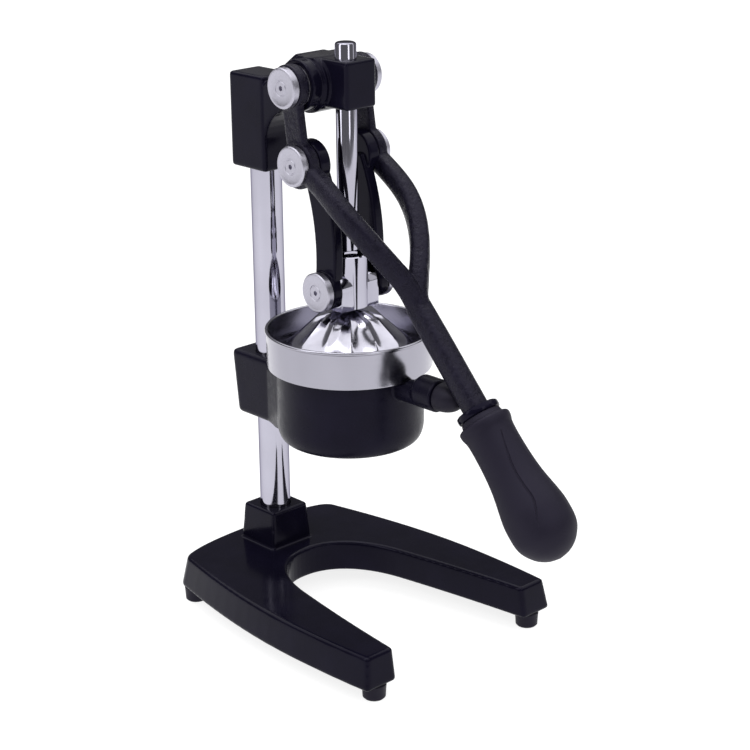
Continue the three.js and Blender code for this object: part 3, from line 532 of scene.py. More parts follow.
VIOLET_TINT = (0.8, 0.76, 1.0, 1.0)
DARK_EDGE_TINT = (0.3, 0.29, 0.34, 1.0)
METAL = {"Metallic": 1.0}
DARK_EDGED_METAL = {"Metallic": 1.0, "Specular_Tint": DARK_EDGE_TINT}


def coat(level):
    """The sheen of enamel and rubber."""
    return {"Specular_IOR_Level": level, "Specular_Tint": VIOLET_TINT}


def faced_steel(colours, name, pivot):
    """Satin steel with turning marks round a pin's axis."""
    finish = Finish(name, "satin_steel")
    axis = at(0, *pivot)
    dust = finish.noise(700, centre=axis)
    finish.colour(dust, colours.satin, 0.9, 1.05)
    finish.roughness(dust, 0.3, 0.42)
    finish.bump(finish.rings(480, axis), 0.12, 0.02)
    return finish.set(**METAL).material


def patterned(colours, name, slot, colour, shares, gloss, tint, veil, reliefs, shine):
    """A material whose colour, roughness and relief follow noise; None repeats the colour's noise."""
    finish = Finish(name, slot)
    patches = finish.noise(*tint)
    finish.colour(patches, getattr(colours, colour), *shares)
    finish.roughness(finish.noise(*veil) if veil else patches, *gloss)
    below = None
    for pattern, strength, depth in reliefs:
        height = finish.noise(*pattern) if pattern else patches
        below = finish.bump(height, strength, depth, below)
    return finish.set(**shine).material


FACED = {
    "head_pin": ("faced_steel_head", HEAD_PIVOT),
    "lever_pin": ("faced_steel_lever", LEVER_PIVOT),
    "cross_pin": ("faced_steel_crosshead", CROSS_PIVOT),
}
STREAKS, BRUSHING, SPINNING = (900, 2, 0.5, 60), (26, 3, 0.6, 0.012), (90, 2, 0.5, 0.05)
# Material, slot, colour and its shares, roughness; then the noise of colour, roughness and relief; the shine
PATTERNED = {
    # Glossy black enamel: deep, slightly wavy, with a fine orange peel
    "enamel": ("gloss_black_enamel", "black_enamel", "enamel", (0.85, 1.2), (0.11, 0.19))
    + ((38, 2), (90,), ((None, 0.25, 0.6), ((620, 2), 0.14, 0.12)), coat(0.1)),
    # The holder's enamel, thinner and more satin, over a slightly rough casting
    "bowl": ("satin_black_enamel", "black_enamel", "enamel", (0.9, 1.25), (0.26, 0.38))
    + ((45, 2), (160,), ((None, 0.3, 0.8), ((900,), 0.35, 0.16)), coat(0.12)),
    # Enamel over rough sand casting, for the lever
    "cast": ("rough_cast_black", "cast_black", "cast", (0.75, 1.35), (0.2, 0.38))
    + ((210, 3, 0.6), None, ((None, 0.7, 1.3), ((800, 4, 0.7), 0.8, 0.4)), coat(0.2)),
    # Bright chrome with faint draw marks along the bar
    "chrome": ("bright_chrome", "chrome", "chrome", (0.93, 1), (0.05, 0.1))
    + ((30, 2), STREAKS, ((STREAKS, 0.05, 0.02),), DARK_EDGED_METAL),
    # Stainless steel brushed round the cup
    "brushed": ("brushed_stainless", "polished_steel", "steel", (0.88, 1), (0.17, 0.25))
    + ((25, 2, 0.5, 3), BRUSHING, ((BRUSHING, 0.05, 0.02),), METAL),
    # Stainless steel polished on the flutes of the bell
    "spun": ("polished_stainless", "polished_steel", "steel", (1.2, 1.45), (0.12, 0.19))
    + ((60, 2), SPINNING, ((SPINNING, 0.03, 0.01),), DARK_EDGED_METAL),
    # Matte moulded rubber with a fine grain
    "grip": ("matte_grip_rubber", "grip_rubber", "grip", (0.88, 1.14), (0.52, 0.66))
    + ((28,), None, (((1500, 3, 0.6), 0.35, 0.09),), coat(0.25)),
    # Plain black rubber
    "rubber": ("black_rubber_pads", "black_rubber", "rubber", (0.8, 1.25), (0.45, 0.62))
    + ((90,), None, (((1200, 2), 0.25, 0.08),), coat(0.25)),
    # Zinc-plated steel of the fasteners
    "zinc": ("zinc_plated_steel", "zinc_steel", "satin", (0.7, 0.9), (0.3, 0.45))
    + ((220,), None, (((900, 2), 0.1, 0.03),), METAL),
}
made_finishes = {}


def finish_named(name):
    """A finish, made the first time it is asked for."""
    if name not in made_finishes:
        make, row = (faced_steel, FACED[name]) if name in FACED else (patterned, PATTERNED[name])
        made_finishes[name] = make(bpy.context.scene.press_colours, *row)
    return made_finishes[name]


# ---------------------------------------------------------------- settings


class PressSizes(bpy.types.PropertyGroup):
    """Sizes of the press that a user may want to change."""

    post_radius: FloatProperty(
        name="Post radius",
        description="Radius of the upright bar",
        default=half_width("post", 0),
        unit="LENGTH",
    )
    rod_radius: FloatProperty(
        name="Rod radius",
        description="Radius of the ram's bar",
        default=half_width("ram_rod", 0),
        unit="LENGTH",
    )
    edge_rounding: FloatProperty(
        name="Edge rounding", description="Rounding of the castings' edges", default=0.002, unit="LENGTH"
    )
    rim_radius: FloatProperty(
        name="Rim radius",
        description="Outer radius of the cup's rim",
        default=half_width("juice_cup", 0),
        unit="LENGTH",
    )
    bell_radius: FloatProperty(
        name="Bell radius",
        description="Radius of the bell's rim",
        default=half_width("press_bell", 0),
        unit="LENGTH",
    )
    flute_count: IntProperty(name="Flutes", description="Number of flutes round the bell", default=12)
    flute_depth: FloatProperty(
        name="Flute depth", description="Depth of the bell's flutes", default=0.0033, unit="LENGTH"
    )
    disc_radius: FloatProperty(
        name="Disc radius",
        description="Radius of the pins' discs",
        default=half_width("crosshead_pin_left", 1),
        unit="LENGTH",
    )
    grip_radius: FloatProperty(
        name="Grip radius",
        description="Radius of the grip where it is thickest",
        default=0.0251,
        unit="LENGTH",
    )
    stem_width: FloatProperty(
        name="Stem width", description="Width of the lever's stem", default=0.0186, unit="LENGTH"
    )


class PressColours(bpy.types.PropertyGroup):
    """Colours of the press."""

    enamel: FloatVectorProperty(
        name="Enamel",
        description="Black enamel of the castings",
        subtype="COLOR",
        default=(0.0042, 0.0036, 0.0098),
    )
    cast: FloatVectorProperty(
        name="Cast",
        description="Enamel on the rough castings",
        subtype="COLOR",
        default=(0.005, 0.0042, 0.0105),
    )
    chrome: FloatVectorProperty(
        name="Chrome", description="Chrome of post and ram", subtype="COLOR", default=(0.46, 0.45, 0.53)
    )
    steel: FloatVectorProperty(
        name="Steel",
        description="Stainless steel of cup and bell",
        subtype="COLOR",
        default=(0.38, 0.373, 0.43),
    )
    satin: FloatVectorProperty(
        name="Satin steel", description="Faced steel of the pins", subtype="COLOR", default=(0.45, 0.44, 0.51)
    )
    grip: FloatVectorProperty(
        name="Grip", description="Rubber of the grip", subtype="COLOR", default=(0.0075, 0.0062, 0.0135)
    )
    rubber: FloatVectorProperty(
        name="Rubber",
        description="Rubber of feet and bumper",
        subtype="COLOR",
        default=(0.005, 0.0042, 0.009),
    )


class StudioSettings(bpy.types.PropertyGroup):
    """The studio round the press."""

    floor_tone: FloatVectorProperty(
        name="Floor", description="Colour of the floor", subtype="COLOR", default=(0.3, 0.3, 0.303)
    )
    floor_glow: FloatProperty(
        name="Floor glow", description="How far the floor lights its own shadows up", default=0.84
    )
    room_light: FloatProperty(name="Room light", description="Strength of the room's light", default=0.18)
    lamp_power: FloatProperty(
        name="Lamp power", description="Power of the main soft lamp", default=5.0, unit="POWER"
    )
    overhead_light: FloatProperty(
        name="Overhead light", description="Strength of the wide light above", default=2.8
    )
    lens: FloatProperty(name="Lens", description="Focal length of the camera", default=92.3, unit="CAMERA")


# ---------------------------------------------------------------- the pieces


def base_plan(out, inn, steps=10):
    """The U-shaped plan in millimetres, its outer edge moved out and its opening widened."""
    rounding, waist = 3.5, -40
    front = -118.5 - out
    tip_x, inner_x = 96.5 + out, 70.5 - inn
    back_x, back_y, side_x = 80.5 + out, 128 + out, 99.7 + out
    corner_y = back_y - 20
    straight_x, end = 54 - inn, 58 - inn
    tip_start = (inner_x + rounding, front)
    bends = (
        ((back_x * 0.6, back_y), (back_x - 10, back_y - 8.5), steps),
        ((back_x - 1, back_y - 12), (back_x, corner_y), steps),
        ((side_x, waist + corner_y * 0.6), (side_x, waist), steps),
        ((side_x, (front + waist) / 2), (tip_x, front + rounding), steps),
        ((tip_x, front), (tip_x - rounding, front), 3),
        (tip_start, tip_start, 1),
        ((inner_x, front), (inner_x, front + rounding), 3),
        (((inner_x + straight_x) / 2 + 1.8, front / 2), (straight_x, -5), steps),
    )
    half = [Vector((0, back_y))]
    for turn, stop, count in bends:
        half += bend_quadratic(half[-1], Vector(turn), Vector(stop), count)
    beside, behind = Vector((straight_x * 0.87, end * 0.69)), Vector((straight_x * 0.46, end))
    half += bend_cubic(half[-1], beside, behind, Vector((0, end)), steps + 4)
    return half + [Vector((-point.x, point.y)) for point in reversed(half[1:-1])]


def levelled(plan, height):
    """A plan set at a height."""
    return [at(point.x, point.y, height) for point in plan]


def build_base(sizes):
    """The base casting with its socket, hollow underneath."""
    bottom, shoulder, wall, draft = 12.5, 37.9, 5, 4
    edge, mouth = 0.6, 0.4
    foot = levelled(base_plan(edge + draft, mouth), bottom)
    outside = leaning_wall(foot, levelled(base_plan(edge, mouth), shoulder))
    hollow = base_plan(-wall, -wall)
    cut_out(outside, leaning_wall(levelled(hollow, 9), levelled(hollow, 31.5)))
    round_edges(outside, sizes.edge_rounding / MM, 3, 40)
    half, taper, roof = 21, 18 / 20.5, 34
    socket = block(at(-half, POST_Y - half, 33), at(half, POST_Y + half, 69.2))
    edit(socket)
    select_where(socket, lambda co: co.z > 0.06)
    bpy.ops.transform.resize(value=(taper, taper, 1), center_override=at(0, POST_Y, 68.5))
    to_object_mode()
    round_edges(socket, 1.6)
    parts = [outside, socket, rod(at(0, POST_Y, 20.5), at(0, POST_Y, roof), 20)]
    parts.append(block(at(-82, POST_Y - 3, 13), at(82, POST_Y + 3, roof)))
    for x, y in FEET.values():
        parts.append(rod(at(x, y, 12.6), at(x, y, 25), 7.6))
    piece = cast(parts, 1.15, 2)
    bore = sizes.post_radius / MM + BORE_GAP
    cut_out(piece, rod(at(0, POST_Y, 28.5), at(0, POST_Y, 80), bore))
    finish_piece(piece, "base_with_socket", "frame", "enamel", ["base_casting"], 60)


def build_feet():
    """Four rubber feet, slightly dished, with the recess of their screws."""
    top, low_lip, high_lip = 12.2, 1.2, 0.8
    profile = [(5.3, 0.6), (6.2, 0), (8.8 - low_lip, 0), (8.75, low_lip), (9.1, 7), (9.5, top - high_lip)]
    profile += [(9.5 - high_lip, top), (2.8, top), (2.8, 6.3), (5.3, 6.3)]
    for place, centre in FEET.items():
        foot = turn_upright(profile, centre, 48, True)
        finish_piece(foot, f"foot_pad_{place}", "frame", "rubber", [f"rubber_foot_{place}"])


def build_post(sizes):
    """The chrome post with chamfered ends."""
    radius = sizes.post_radius / MM
    low, high, chamfer = 28.8, 420, 1
    profile = [(0, low), (radius - chamfer, low), (radius, low + chamfer)]
    profile += [(radius, high - chamfer), (radius - chamfer, high), (0, high)]
    piece = turn_upright(profile, (0, POST_Y))
    finish_piece(piece, "post_bar", "frame", "chrome", ["post"])


def build_head(sizes):
    """The head casting: block, arched arm and stepped boss."""
    head_block = block(at(-15.7, 77, 355.8), at(15.7, 117.7, 430.7), 2.6)
    front, back, under, top = -16.9, 86, 417, 453
    arch, arch_foot = Vector((22.5, under)), Vector((77.4, 379.6))
    side = [(front, under), tuple(arch)]
    side += map(tuple, bend_cubic(arch, Vector((40, under)), Vector((arch_foot.x, 405.9)), arch_foot, 12))
    side += [(back, arch_foot.y), (back, 425.6), (arch_foot.x, 425.6), (40, top), (front, top)]
    arm = extrude_loop([at(-15, y, z) for y, z in side], X_AXIS * 30 * MM)
    round_edges(arm, sizes.edge_rounding / MM, 3, 25)
    parts = [head_block, arm, cross_rod(HEAD_PIVOT, -29, 29, 19.3, 0.8)]
    parts.append(cross_rod(HEAD_PIVOT, -19.5, 19.5, 22, 1.2))
    piece = cast(parts, 0.85, 1)
    above = block(at(-40, -40, top + 0.05), at(40, 60, 480))
    hole = rod(at(0, 0, 400), at(0, 0, 470), sizes.rod_radius / MM + BORE_GAP)
    post_hole = rod(at(0, POST_Y, 340), at(0, POST_Y, 420.3), sizes.post_radius / MM + BORE_GAP)
    cut_out(piece, above, hole, post_hole)
    for height in (378, 408):
        cut_out(piece, rod(at(0, 106, height), at(0, 125, height), SET_SCREW_BORE, 32))
    finish_piece(piece, "head_with_arm", "frame", "enamel", ["head_casting"], 50)


def web_outline():
    """The plan of the web from the clamp to the bowl, with its flared blends."""
    touch = WEB_HALF + 19
    bowl_y = math.sqrt(BOWL_RADIUS**2 - touch**2)
    start = Vector((touch, bowl_y - 4.5))
    end = Vector((WEB_HALF, bowl_y + 38))
    blend = bend_quadratic(start, Vector((21.5, bowl_y + 22.8)), end, 10)
    right = [start, *blend, Vector((WEB_HALF, POST_Y))]
    return [*right, *(Vector((-p.x, p.y)) for p in reversed(right))]


def build_holder(sizes):
    """The cup holder: bowl, web, clamp and lever rest in one casting."""
    foot_radius, floor, bend_top, drop, screw = 51.5, 160.1, 169.6, 47, 178
    rounding = 14
    start = BOWL_RADIUS - rounding
    widening = (BOWL_RADIUS - foot_radius) / rounding
    lower = arc((start, bend_top), rounding, -90, 0, 8)
    outer = [(foot_radius - 4, HOLDER_BOTTOM)]
    outer += [(foot_radius + (radius - start) * widening, height) for radius, height in lower]
    outer += [(BOWL_RADIUS, HOLDER_TOP - 0.8), (BOWL_RADIUS - 0.8, HOLDER_TOP)]
    inner = [(BOWL_INSIDE, HOLDER_TOP), (BOWL_INSIDE, bend_top), (51.6, 163.5), (drop, floor), (24, floor)]
    bowl = turn_upright([(24, HOLDER_BOTTOM), *outer, *inner], (0, 0), 128, True)
    web_bottom, web_height = 150.2, 47.3
    web = extrude_loop([at(p.x, p.y, web_bottom) for p in web_outline()], Z_AXIS * web_height * MM)
    round_edges(web, 2.2, 3, 50)
    clamp = block(at(-19.8, 72.6, 149.6), at(19.8, 121.6, 203.2))
    edit(clamp)
    select_where(clamp, lambda co: co.z < 0.16 and co.y > ram_axis_y + 0.1)
    bpy.ops.transform.translate(value=(0, -6 * MM, 0))
    to_object_mode()
    round_edges(clamp, 4)
    above = 260
    room = [(0, floor), (drop, floor), (BOWL_INSIDE, bend_top), (BOWL_INSIDE, 250), (0, 250)]
    slope_end = HOLDER_BOTTOM + 0.2
    slope = [(20, 140), (72, 140), (66, web_bottom - 0.1), (44, slope_end), (20, slope_end)]
    under = extrude_loop([at(-50, y, z) for y, z in slope], X_AXIS * 100 * MM)
    cut_out(web, turn_upright(room), under)
    neck, neck_z = 9.2, REST_Z - 3.8
    rest = rod(at(0, -98.5, REST_Z), at(0, -79.6, REST_Z), 12.7, 72, 0.8)
    shoulder = rod(at(0, -80.2, REST_Z), at(0, -75.6, REST_Z), 12.4, 72, 0, neck)
    root = rod(at(0, -84, neck_z), at(0, -54, neck_z), neck)
    for part in (rest, shoulder, root):
        cup_room = rod(at(0, 0, HOLDER_TOP), at(0, 0, above), 66.4, 128)
        cut_out(part, cup_room, rod(at(0, 0, 180), at(0, 0, above), BOWL_INSIDE + 0.1, 128))
    piece = cast([bowl, web, clamp, rest, shoulder, root], 1.0, 2)
    post_hole = rod(at(0, POST_Y, 140), at(0, POST_Y, 210), sizes.post_radius / MM + BORE_GAP)
    cut_out(piece, post_hole, rod(at(0, 106, screw), at(0, 130, screw), SET_SCREW_BORE, 32))
    finish_piece(piece, "cup_holder_casting", "frame", "bowl", ["cup_holder"], 60)


def build_bumper():
    """The domed rubber plug that the stem lies against."""
    radius, length, back = 11, 20.3, -100.2
    turns = [math.radians(angle) for angle in range(0, 90, 6)]
    dome = [(radius * math.cos(turn), back - length * math.sin(turn)) for turn in turns]
    profile = [(0, -98.8), (10.5, -98.8), (radius, -99.4), *dome, (0, back - length)]
    points = [at(out, y, REST_Z) for out, y in profile]
    piece = turn_profile(points, at(0, 0, REST_Z), Y_AXIS, 72)
    finish_piece(piece, "rest_bumper_plug", "frame", "rubber", ["lever_rest_bumper"], 40)


def build_cup(sizes):
    """The steel cup: a ring with a rolled rim over its well, and the funnel pressed separately."""
    rim = sizes.rim_radius / MM
    bead, wall, sheet = 1.35, 1.2, 1.5
    mouth, well, foot, floor = 47.4, 52.9, 189.4, RING_FOOT + sheet
    bead_foot = RIM_TOP - 2.9
    outside = [(mouth, foot), (well - 1, foot), (well, foot + 1), (well, RING_FOOT - 1.3)]
    outside += [(53.8, RING_FOOT), (63.2, RING_FOOT), (64.1, RING_FOOT + 0.5), (64.35, RING_FOOT + 1.4)]
    rolled = arc((rim - bead, RIM_TOP - bead), bead, -50, 200, 10)
    inside = [(rim - bead - wall, bead_foot), (63.0, RING_FOOT + 2.4), (62.2, floor)]
    inside += [(well - sheet, floor), (well - sheet, foot + sheet), (mouth, foot + sheet)]
    profile = [*outside, (rim - bead * 0.9, bead_foot), *rolled, *inside]
    ring = turn_upright(profile, (0, 0), 144, True)
    finish_piece(ring, "cup_with_rolled_rim", "frame", "brushed", ["juice_cup"], 32)
    spout_low = 147.9
    cone = [(14.5, spout_low), (15, spout_low), (16, 148.9), (16, 161.6), (16.8, 163.2), (48.15, 187.6)]
    cone += [(50.4, 187.6), (50.9, 188.1), (50.9, 189.1), (mouth, 189.1), (15.3, 164.1), (14.5, 162.9)]
    funnel = turn_upright(cone, closed=True)
    finish_piece(funnel, "cup_funnel", "frame", "spun", ["juice_funnel"], 32)


def build_strainer():
    """The perforated strainer with its reamer cone."""
    piece = copy_of_node("strainer_reamer")
    finish_piece(piece, "strainer_with_reamer", "frame", "spun", ["strainer_reamer"], 25)


def build_bell(sizes):
    """The fluted bell: a ring of points extruded up the cone and drawn in along each flute."""
    count, per_flute = sizes.flute_count, 16
    ring, crown, skirt, rise = sizes.bell_radius, 16 * MM, 3, 38.5
    to_object_mode()
    bpy.ops.mesh.primitive_circle_add(
        vertices=count * per_flute, radius=ring, location=at(0, 0, BELL_BOTTOM)
    )
    piece = settle(bpy.context.object)
    edit(piece)
    bpy.ops.mesh.select_all(action="SELECT")
    cone = [0.1, 0.25, 0.3, 0.33, 0.36, 0.4, 0.45, 0.53, 0.65, 0.77, 0.89, 1.0]
    fades = [0, 0, 0.12, 0.34, 0.54, 0.76, 0.93, 1.0, 0.94, 0.8, 0.64, 0.5]
    radius, height = ring, BELL_BOTTOM
    outline = [(ring, BELL_BOTTOM + 1.2), (ring, BELL_BOTTOM + skirt)]
    outline += [(ring + (crown - ring) * share, BELL_BOTTOM + skirt + rise * share) for share in cone]
    for next_radius, next_height in outline:
        step_up = (0, 0, (next_height - height) * MM)
        bpy.ops.mesh.extrude_edges_move(TRANSFORM_OT_translate={"value": step_up})
        scale = next_radius / radius
        bpy.ops.transform.resize(value=(scale, scale, 1), center_override=at(0, 0, next_height))
        radius, height = next_radius, next_height
    bpy.ops.mesh.edge_face_add()
    centre = at(0, 0, 0)
    for (ring_radius, ring_height), fade in zip(outline[2:], fades):
        if not fade:
            continue
        for step in range(per_flute // 2):
            across = (2 * step / per_flute) ** 2
            inwards = sizes.flute_depth * max(0, fade - (0.4 + 0.6 * fade) * across)

            def on_line(co, level=ring_height * MM, offset=step):
                if abs(co.z - level) > 1e-5:
                    return False
                around = math.atan2(co.y - centre.y, co.x) / FULL_TURN * count * per_flute
                place = round(around) % per_flute
                return min(place, per_flute - place) == offset

            select_where(piece, on_line)
            scale = (ring_radius - inwards) / ring_radius
            bpy.ops.transform.resize(value=(scale, scale, 1), center_override=at(0, 0, ring_height))
    bpy.ops.mesh.select_all(action="SELECT")
    bpy.ops.transform.rotate(value=-FLUTE_TURN, orient_axis="Z", center_override=centre)
    close_edit()
    low, bore, ceiling = 214, 57.2, 253.2
    hollow = [(0, low), (bore, low), (bore, 218.6), (54.6, BELL_BOTTOM), (18.5, ceiling), (0, ceiling)]
    cut_out(piece, turn_upright(hollow))
    finish_piece(piece, "fluted_bell", "ram", "spun", ["press_bell"], 38)


def build_ram(sizes):
    """Rod, nut and crosshead."""
    radius = sizes.rod_radius / MM
    low, high = 282.5, 464.7
    dome = [(radius, high - 1.6), (radius - 0.5, high - 0.6), (radius - 1.6, high), (0, high)]
    piece = turn_upright([(0, low), (radius, low), *dome], steps=72)
    finish_piece(piece, "ram_bar", "ram", "chrome", ["ram_rod"])
    foot, top, half = 304.3, 307.3, 10
    nut = rod(at(0, 0, foot), at(0, 0, top), half, 6)
    crown = [(0, foot), (half - 1, foot), (half, foot + 0.6), (half, top - 0.6), (half - 1, top), (0, top)]
    boolean(nut, turn_upright(crown, steps=64), "INTERSECT")
    finish_piece(nut, "rod_nut", "ram", "chrome", ["rod_lock_nut"])
    body, shoulder, reach, eye = 15, 304, 19.3, 13.1
    upright = [(0, CROSSHEAD_FOOT), (body - 0.3, CROSSHEAD_FOOT), (body, CROSSHEAD_FOOT + 0.3)]
    upright += [(body, shoulder - 0.8), (body - 0.8, shoulder), (0, shoulder)]
    crosshead = turn_upright(upright)
    across = cross_rod(CROSS_PIVOT, -reach, reach, eye, 0.5, 96)
    boolean(across, block(at(-reach, -eye, CROSSHEAD_FOOT), at(reach, eye, 279), 0.5), "UNION")
    boolean(crosshead, across, "UNION")
    cut_out(crosshead, block(at(-25, -20, 250), at(25, 20, CROSSHEAD_FOOT)))
    finish_piece(crosshead, "crosshead_with_boss", "ram", "chrome", ["crosshead"], 30)


def disc_profile(radius, side, inner, face, pin_radius=6):
    """A disc-headed pin, from its inner end to the disc's ringed outer face."""
    outer = face + 5.6
    centre = outer - 0.25
    groove = [(6.3, centre), (6.0, outer - 0.6), (5.3, outer - 0.6), (5.0, centre)]
    rim = [(radius - 0.3, face), (radius, face + 0.4), (radius, outer - 1.0), (radius - 0.8, outer - 0.15)]
    rim += [(radius - 1.6, outer), (radius - 2.4, outer), (radius - 3.0, centre)]
    profile = [(0, inner), (pin_radius, inner), (pin_radius, face), *rim, *groove, (0, centre)]
    return [(out, side * x) for out, x in profile]


def build_pins(sizes):
    """The six disc-headed pins, each with a small hexagonal socket."""
    radius = sizes.disc_radius / MM
    rows = (
        ("head_pivot_pin", HEAD_PIVOT, 11.3, 39.2, "frame", "head_pin"),
        ("lever_link_pin", LEVER_PIVOT, 30.6, 39.2, "lever", "lever_pin"),
        ("crosshead_pin", CROSS_PIVOT, 10, 29.1, "ram", "cross_pin"),
    )
    for node, pivot, inner, face, body, finish in rows:
        for name, side in SIDES.items():
            pin = turn_across(disc_profile(radius, side, inner, face), pivot)
            cut_out(pin, cross_rod(pivot, side * (face + 3), side * (face + 8), 2.1, 0, 6))
            finish_piece(pin, f"{node}_disc_{name}", body, finish, [f"{node}_{name}"])


def fork_point(side, t):
    """A place along one arm of the fork, from the lever's lower eye to the stem."""
    spread, bow, first, last = 34.6, 14.4, 0.28, 0.95
    start = at(0, *LEVER_PIVOT)
    along = STEM_ROOT - start
    up = Vector((0, along.z, -along.y)).normalized()
    closing = min(1.0, max(0.0, (t - first) / (last - first)))
    point = start + along * t + up * (4 * bow * MM * t * (1 - t))
    point.x = side * spread * MM * math.cos(closing * math.pi / 2)
    return point


def build_lever(sizes):
    """The forked lever in one rough casting, and its smooth flange."""
    parts = []
    middle = tuple((a + b) / 2 for a, b in zip(HEAD_PIVOT, LEVER_PIVOT))
    half_thick, half_wide, half_long = 3.3, 9.5, 29
    for side in SIDES.values():
        x = side * (EYE_INSIDE + EYE_OUTSIDE) / 2
        low = at(x - half_thick, middle[0] - half_wide, middle[1] - half_long)
        crank = block(low, at(x + half_thick, middle[0] + half_wide, middle[1] + half_long))
        edit(crank)
        bpy.ops.mesh.select_all(action="SELECT")
        bpy.ops.transform.rotate(
            value=math.radians(8.6), orient_axis="X", center_override=at(x, *middle), orient_type="GLOBAL"
        )
        to_object_mode()
        parts.append(round_edges(crank, 1.6))
        for pivot, radius in ((HEAD_PIVOT, 16.8), (LEVER_PIVOT, 18)):
            parts.append(cross_rod(pivot, side * EYE_INSIDE, side * EYE_OUTSIDE, radius, 0.9))
        points = [fork_point(side, 0.84 * i / 12) for i in range(13)]
        points += [on_stem(2), on_stem(18)]
        parts.append(sweep(points, 7.5, 8.3, [1.0 + 0.03 * i / 14 for i in range(15)]))
    half = sizes.stem_width / MM / 2
    stem_points = [on_stem(along) for along in (-3, 30, 60, 90)]
    parts.append(sweep(stem_points, half, half, [0.96, 1, 1, 1]))
    piece = cast(parts, 0.8, 2)
    for side in SIDES.values():
        cut_out(piece, cross_rod(LEVER_PIVOT, side * (EYE_OUTSIDE + 0.05), side * 50, 15.6))
    finish_piece(piece, "forked_lever", "lever", "cast", ["lever_fork"], 60)
    low, disc, top, tang = 87, 88, 94, 7.5
    collar = [(0, low), (9, low), (9.6, disc), (15.6, disc), (16.5, disc + 0.7), (16.8, 90), (16.8, 92)]
    collar += [(16.4, top - 0.7), (15.6, top), (tang, top), (tang, TANG_END), (0, TANG_END)]
    finish_piece(turn_on_stem(collar), "stem_flange", "lever", "enamel")


def build_grip(sizes):
    """The moulded rubber grip."""
    thick = sizes.grip_radius / MM
    bore, bore_end = 7.8, 189.6
    shares = [(0.03, 0.66), (0.042, 0.79), (0.065, 0.81), (0.09, 0.79), (0.12, 0.75), (0.2, 0.735)]
    shares += [(0.34, 0.755), (0.47, 0.815), (0.61, 0.94), (0.68, 0.99), (0.75, 1), (0.81, 0.985)]
    shares += [(0.86, 0.925), (0.905, 0.8), (0.95, 0.61), (0.985, 0.33), (1, 0)]
    outline = [Vector((thick * out, GRIP_START + GRIP_LENGTH * along)) for along, out in shares]
    profile = [(0, bore_end), (bore, bore_end), (bore, GRIP_START), (thick * 0.62, GRIP_START)]
    profile += [(max(0, point.x), point.y) for point in smooth_line(outline, 3)]
    piece = turn_on_stem(profile, 72)
    crease = [(0.14, 106, 18.2), (0.2, 112, 18.5), (0.3, 120, 18.9), (0.4, 126, 19.7), (0.51, 126, 21.5)]
    crease += [(0.62, 124, 23.9), (0.68, 128, 24.9), (0.75, 136, 25.3), (0.8, 140, 25.2)]
    path = []
    for along, around, radius in crease:
        out = X_AXIS * math.cos(math.radians(around)) + STEM_UP * math.sin(math.radians(around))
        path.append(on_stem(GRIP_START + GRIP_LENGTH * along) + out * radius * MM)
    cut_out(piece, sweep(path, 0.85, 0.85, [0.3, 0.6, 0.9, 1, 1, 1, 0.9, 0.6, 0.3]))
    finish_piece(piece, "moulded_grip", "lever", "grip", ["handle_grip"], 50)


def link_outline():
    """The banana-shaped side of a link, as points round it."""
    bow, half = 7.5, 10.9
    low, top = Vector(CROSS_PIVOT), Vector(LEVER_PIVOT)
    along = low - top
    across = Vector((along.y, -along.x)).normalized()
    shares = [i / 16 for i in range(17)]

    def edge(offset):
        return [top + along * t + across * (4 * bow * t * (1 - t) + offset) for t in shares]

    return edge(half) + list(reversed(edge(-half)))


def build_links():
    """Both links, bowed to the front, with their round eyes."""
    for name, side in SIDES.items():
        bar = extrude_loop([at(side * 16.8, p.x, p.y) for p in link_outline()], X_AXIS * side * 9.2 * MM)
        round_edges(bar, 1.3, 3, 40)
        top = cross_rod(LEVER_PIVOT, side * 19.8, side * 30.0, 18, 1.0)
        low = cross_rod(CROSS_PIVOT, side * 19.6, side * 28.8, 15, 1.0)
        piece = cast([bar, top, low], 0.7, 1)
        cut_out(piece, cross_rod(CROSS_PIVOT, 0, side * 19.6, 15.4))
        finish_piece(piece, f"bowed_link_{name}", f"{name}_link", "enamel", [f"link_{name}"], 60)


def build_fasteners():
    """Screws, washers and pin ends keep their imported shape, welded and smoothed."""
    small = ("foot_screw", "post_bolt", "head_set_screw", "holder_set_screw", "bell_screw")
    small += ("head_pivot_washer", "link_pin_end")
    for body, nodes in frame["record"]["behaviour"]["bodies"].items():
        for node in nodes:
            if node.startswith(small):
                finish_piece(copy_of_node(node), f"{node}_finished", body, "zinc", [node])


def build_floor(studio):
    """A plain pale floor that lights its own shadows up a little."""
    to_object_mode()
    bpy.ops.mesh.primitive_plane_add(size=60)
    floor = bpy.context.object
    floor.name = "studio_floor"
    ground = Finish("studio_floor")
    ground.colour(ground.noise(3, 2), studio.floor_tone, 0.99, 1)
    white = (1, 1, 1, 1)
    ground.set(
        Roughness=0.8, Specular_IOR_Level=0.2, Emission_Color=white, Emission_Strength=studio.floor_glow
    )
    floor.data.materials.append(ground.material)


